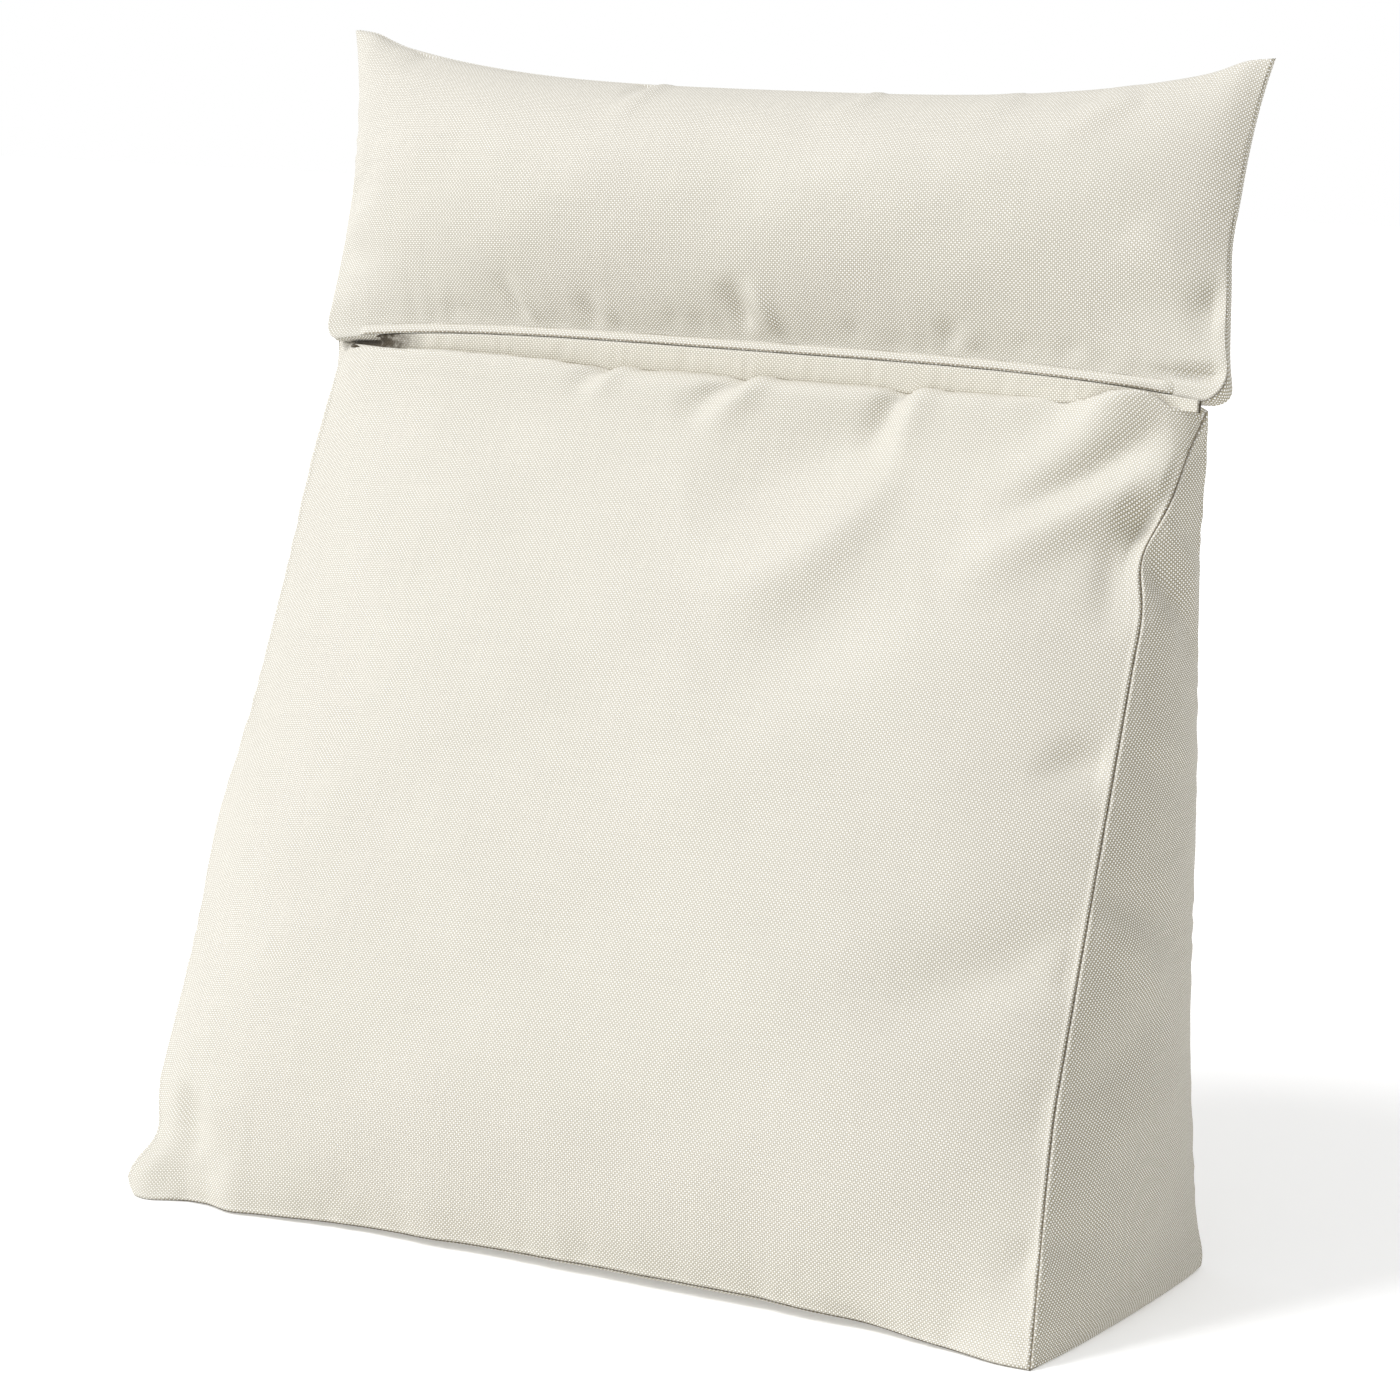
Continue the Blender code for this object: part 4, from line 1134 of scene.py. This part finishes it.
LAP_LEFT_END = -0.266
LAP_RIGHT_END = 0.282
LAP_THICKNESS = 0.0011
LAP_STAND = 0.0013
LAP_ROLL = 0.0004
LAP_TURN_IN = 0.0013
LAP_OVERHANG = 0.0004
LAP_END_SUNK = 0.0060
LAP_END_REACH = 0.016
# How faint the painted shade line along the lap's lower edge is
LAP_EDGE_SHADE_WAY = 0.00066
LAP_CELLS = (260, 6)
LAP_STITCH_ROW = 0.16
LAP_STITCH_ENDS = (0.02, 0.98)


def lap_place(along, up):
    """Places on the stitched lap, flat on the foot of the head cushion's front panel."""
    x = mix(LAP_LEFT_END, LAP_RIGHT_END, along)
    u = foot_share(x)
    y, z = head_between_seams(u, up * lap_height(u) / HEAD_SLOPE)
    roll = LAP_ROLL * np.sin(pi * up) ** 0.7 - LAP_TURN_IN * up ** 3
    to_end = np.minimum(x - LAP_LEFT_END, LAP_RIGHT_END - x)
    sunk = LAP_END_SUNK * (1.0 - smooth_step(to_end / LAP_END_REACH))
    return np.stack([x, y - LAP_STAND - roll + sunk, z - LAP_OVERHANG * (1.0 - up)], axis=-1)


# Its way from its lower edge carries a faint line of painted shade under that edge
lap = cloth_band("seam_lap_cloth", LAP_CELLS, lap_place, LAP_THICKNESS,
                 LAP_RIGHT_END - LAP_LEFT_END, lambda along, up: up + LAP_EDGE_SHADE_WAY)
finish_piece(lap, cover_cloth, "strip_cloth", "seam_lap")
lap_run = np.linspace(*LAP_STITCH_ENDS, 400)
lap_line = lap_place(lap_run, np.full_like(lap_run, LAP_STITCH_ROW))
lap_line = lap_line - np.array([0.0, LAP_THICKNESS / 2.0, 0.0])
lap_ways = np.tile((0.0, -1.0, 0.0), (len(lap_run), 1))
lap_stitches = stitches("lap_stitches", [(lap_line, lap_ways)], 0.0)
finish_piece(lap_stitches, thread_finish, "sewing_thread")

# Studio: a plain white floor and soft light from the upper left, with the camera at the height
# and turn from which the front, the right gusset and the head cushion show.

AZIMUTH = radians(31.524)
ELEVATION = radians(11.212)
CAMERA_DISTANCE = 2.460
CAMERA_AIM = Vector((0.033, 0.0, 0.308))
SENSOR = 36.0
LENS = 115.33
FLOOR_SIZE = 12.0
KEY_STRENGTH = 1.80
KEY_ANGLE = 18.0
FLOOR_FINISH = {"Base Color": (0.93, 0.93, 0.93, 1.0), "Roughness": 0.9, "Specular IOR Level": 0.1,
                "Emission Color": (1.0, 1.0, 1.0, 1.0), "Emission Strength": 0.25}
WALL_STRENGTH = 1.0
CEILING_STRENGTH = 0.70
HORIZON_BLEND = 0.12

turn_to_camera = Matrix.Rotation(AZIMUTH, 3, "Z") @ Matrix.Rotation(-ELEVATION, 3, "X")
towards_camera = turn_to_camera @ Vector((0, -1, 0))
bpy.ops.object.select_all(action="DESELECT")
bpy.ops.object.camera_add(location=CAMERA_AIM + CAMERA_DISTANCE * towards_camera)
camera = bpy.context.object
camera.rotation_euler = (-towards_camera).to_track_quat("-Z", "Y").to_euler()
camera.data.sensor_width = SENSOR
camera.data.lens = LENS
bpy.context.scene.camera = camera

bpy.ops.mesh.primitive_plane_add(size=FLOOR_SIZE, location=(0.0, 0.0, 0.0))
floor = bpy.context.object
floor.name = "studio_floor"
floor_paint = bpy.data.materials.new("white_floor")
floor_paint.use_nodes = True
set_inputs(floor_paint.node_tree.nodes["Principled BSDF"], FLOOR_FINISH)
floor.data.materials.append(floor_paint)

# A large soft box far off to the upper left, so that it lights the whole floor alike
bpy.ops.object.light_add(type="SUN", location=(-3.0, -2.0, 3.0))
key_light = bpy.context.object
key_light.name = "key_light"
key_light.data.energy = KEY_STRENGTH
key_light.data.angle = radians(KEY_ANGLE)
key_light.rotation_euler = (-Vector(TOWARDS_LIGHT)).to_track_quat("-Z", "Y").to_euler()

# White walls below the horizon, which only a view past the floor's edge meets, and a dimmer ceiling
world = bpy.data.worlds.new("studio_white")
world.use_nodes = True
sky = world.node_tree
light_of_sky = sky.nodes["Background"]
light_of_sky.inputs["Color"].default_value = (1.0, 1.0, 1.0, 1.0)
add_to_sky, _, _, spread_over_sky = node_chain(sky)
height_of_view = add_to_sky("ShaderNodeSeparateXYZ")
sky.links.new(add_to_sky("ShaderNodeTexCoord").outputs["Generated"], height_of_view.inputs[0])
strength = spread_over_sky(height_of_view.outputs["Z"], (0.0, HORIZON_BLEND),
                           (WALL_STRENGTH, CEILING_STRENGTH))
sky.links.new(strength, light_of_sky.inputs["Strength"])
bpy.context.scene.world = world
bpy.context.scene.view_settings.view_transform = "Standard"
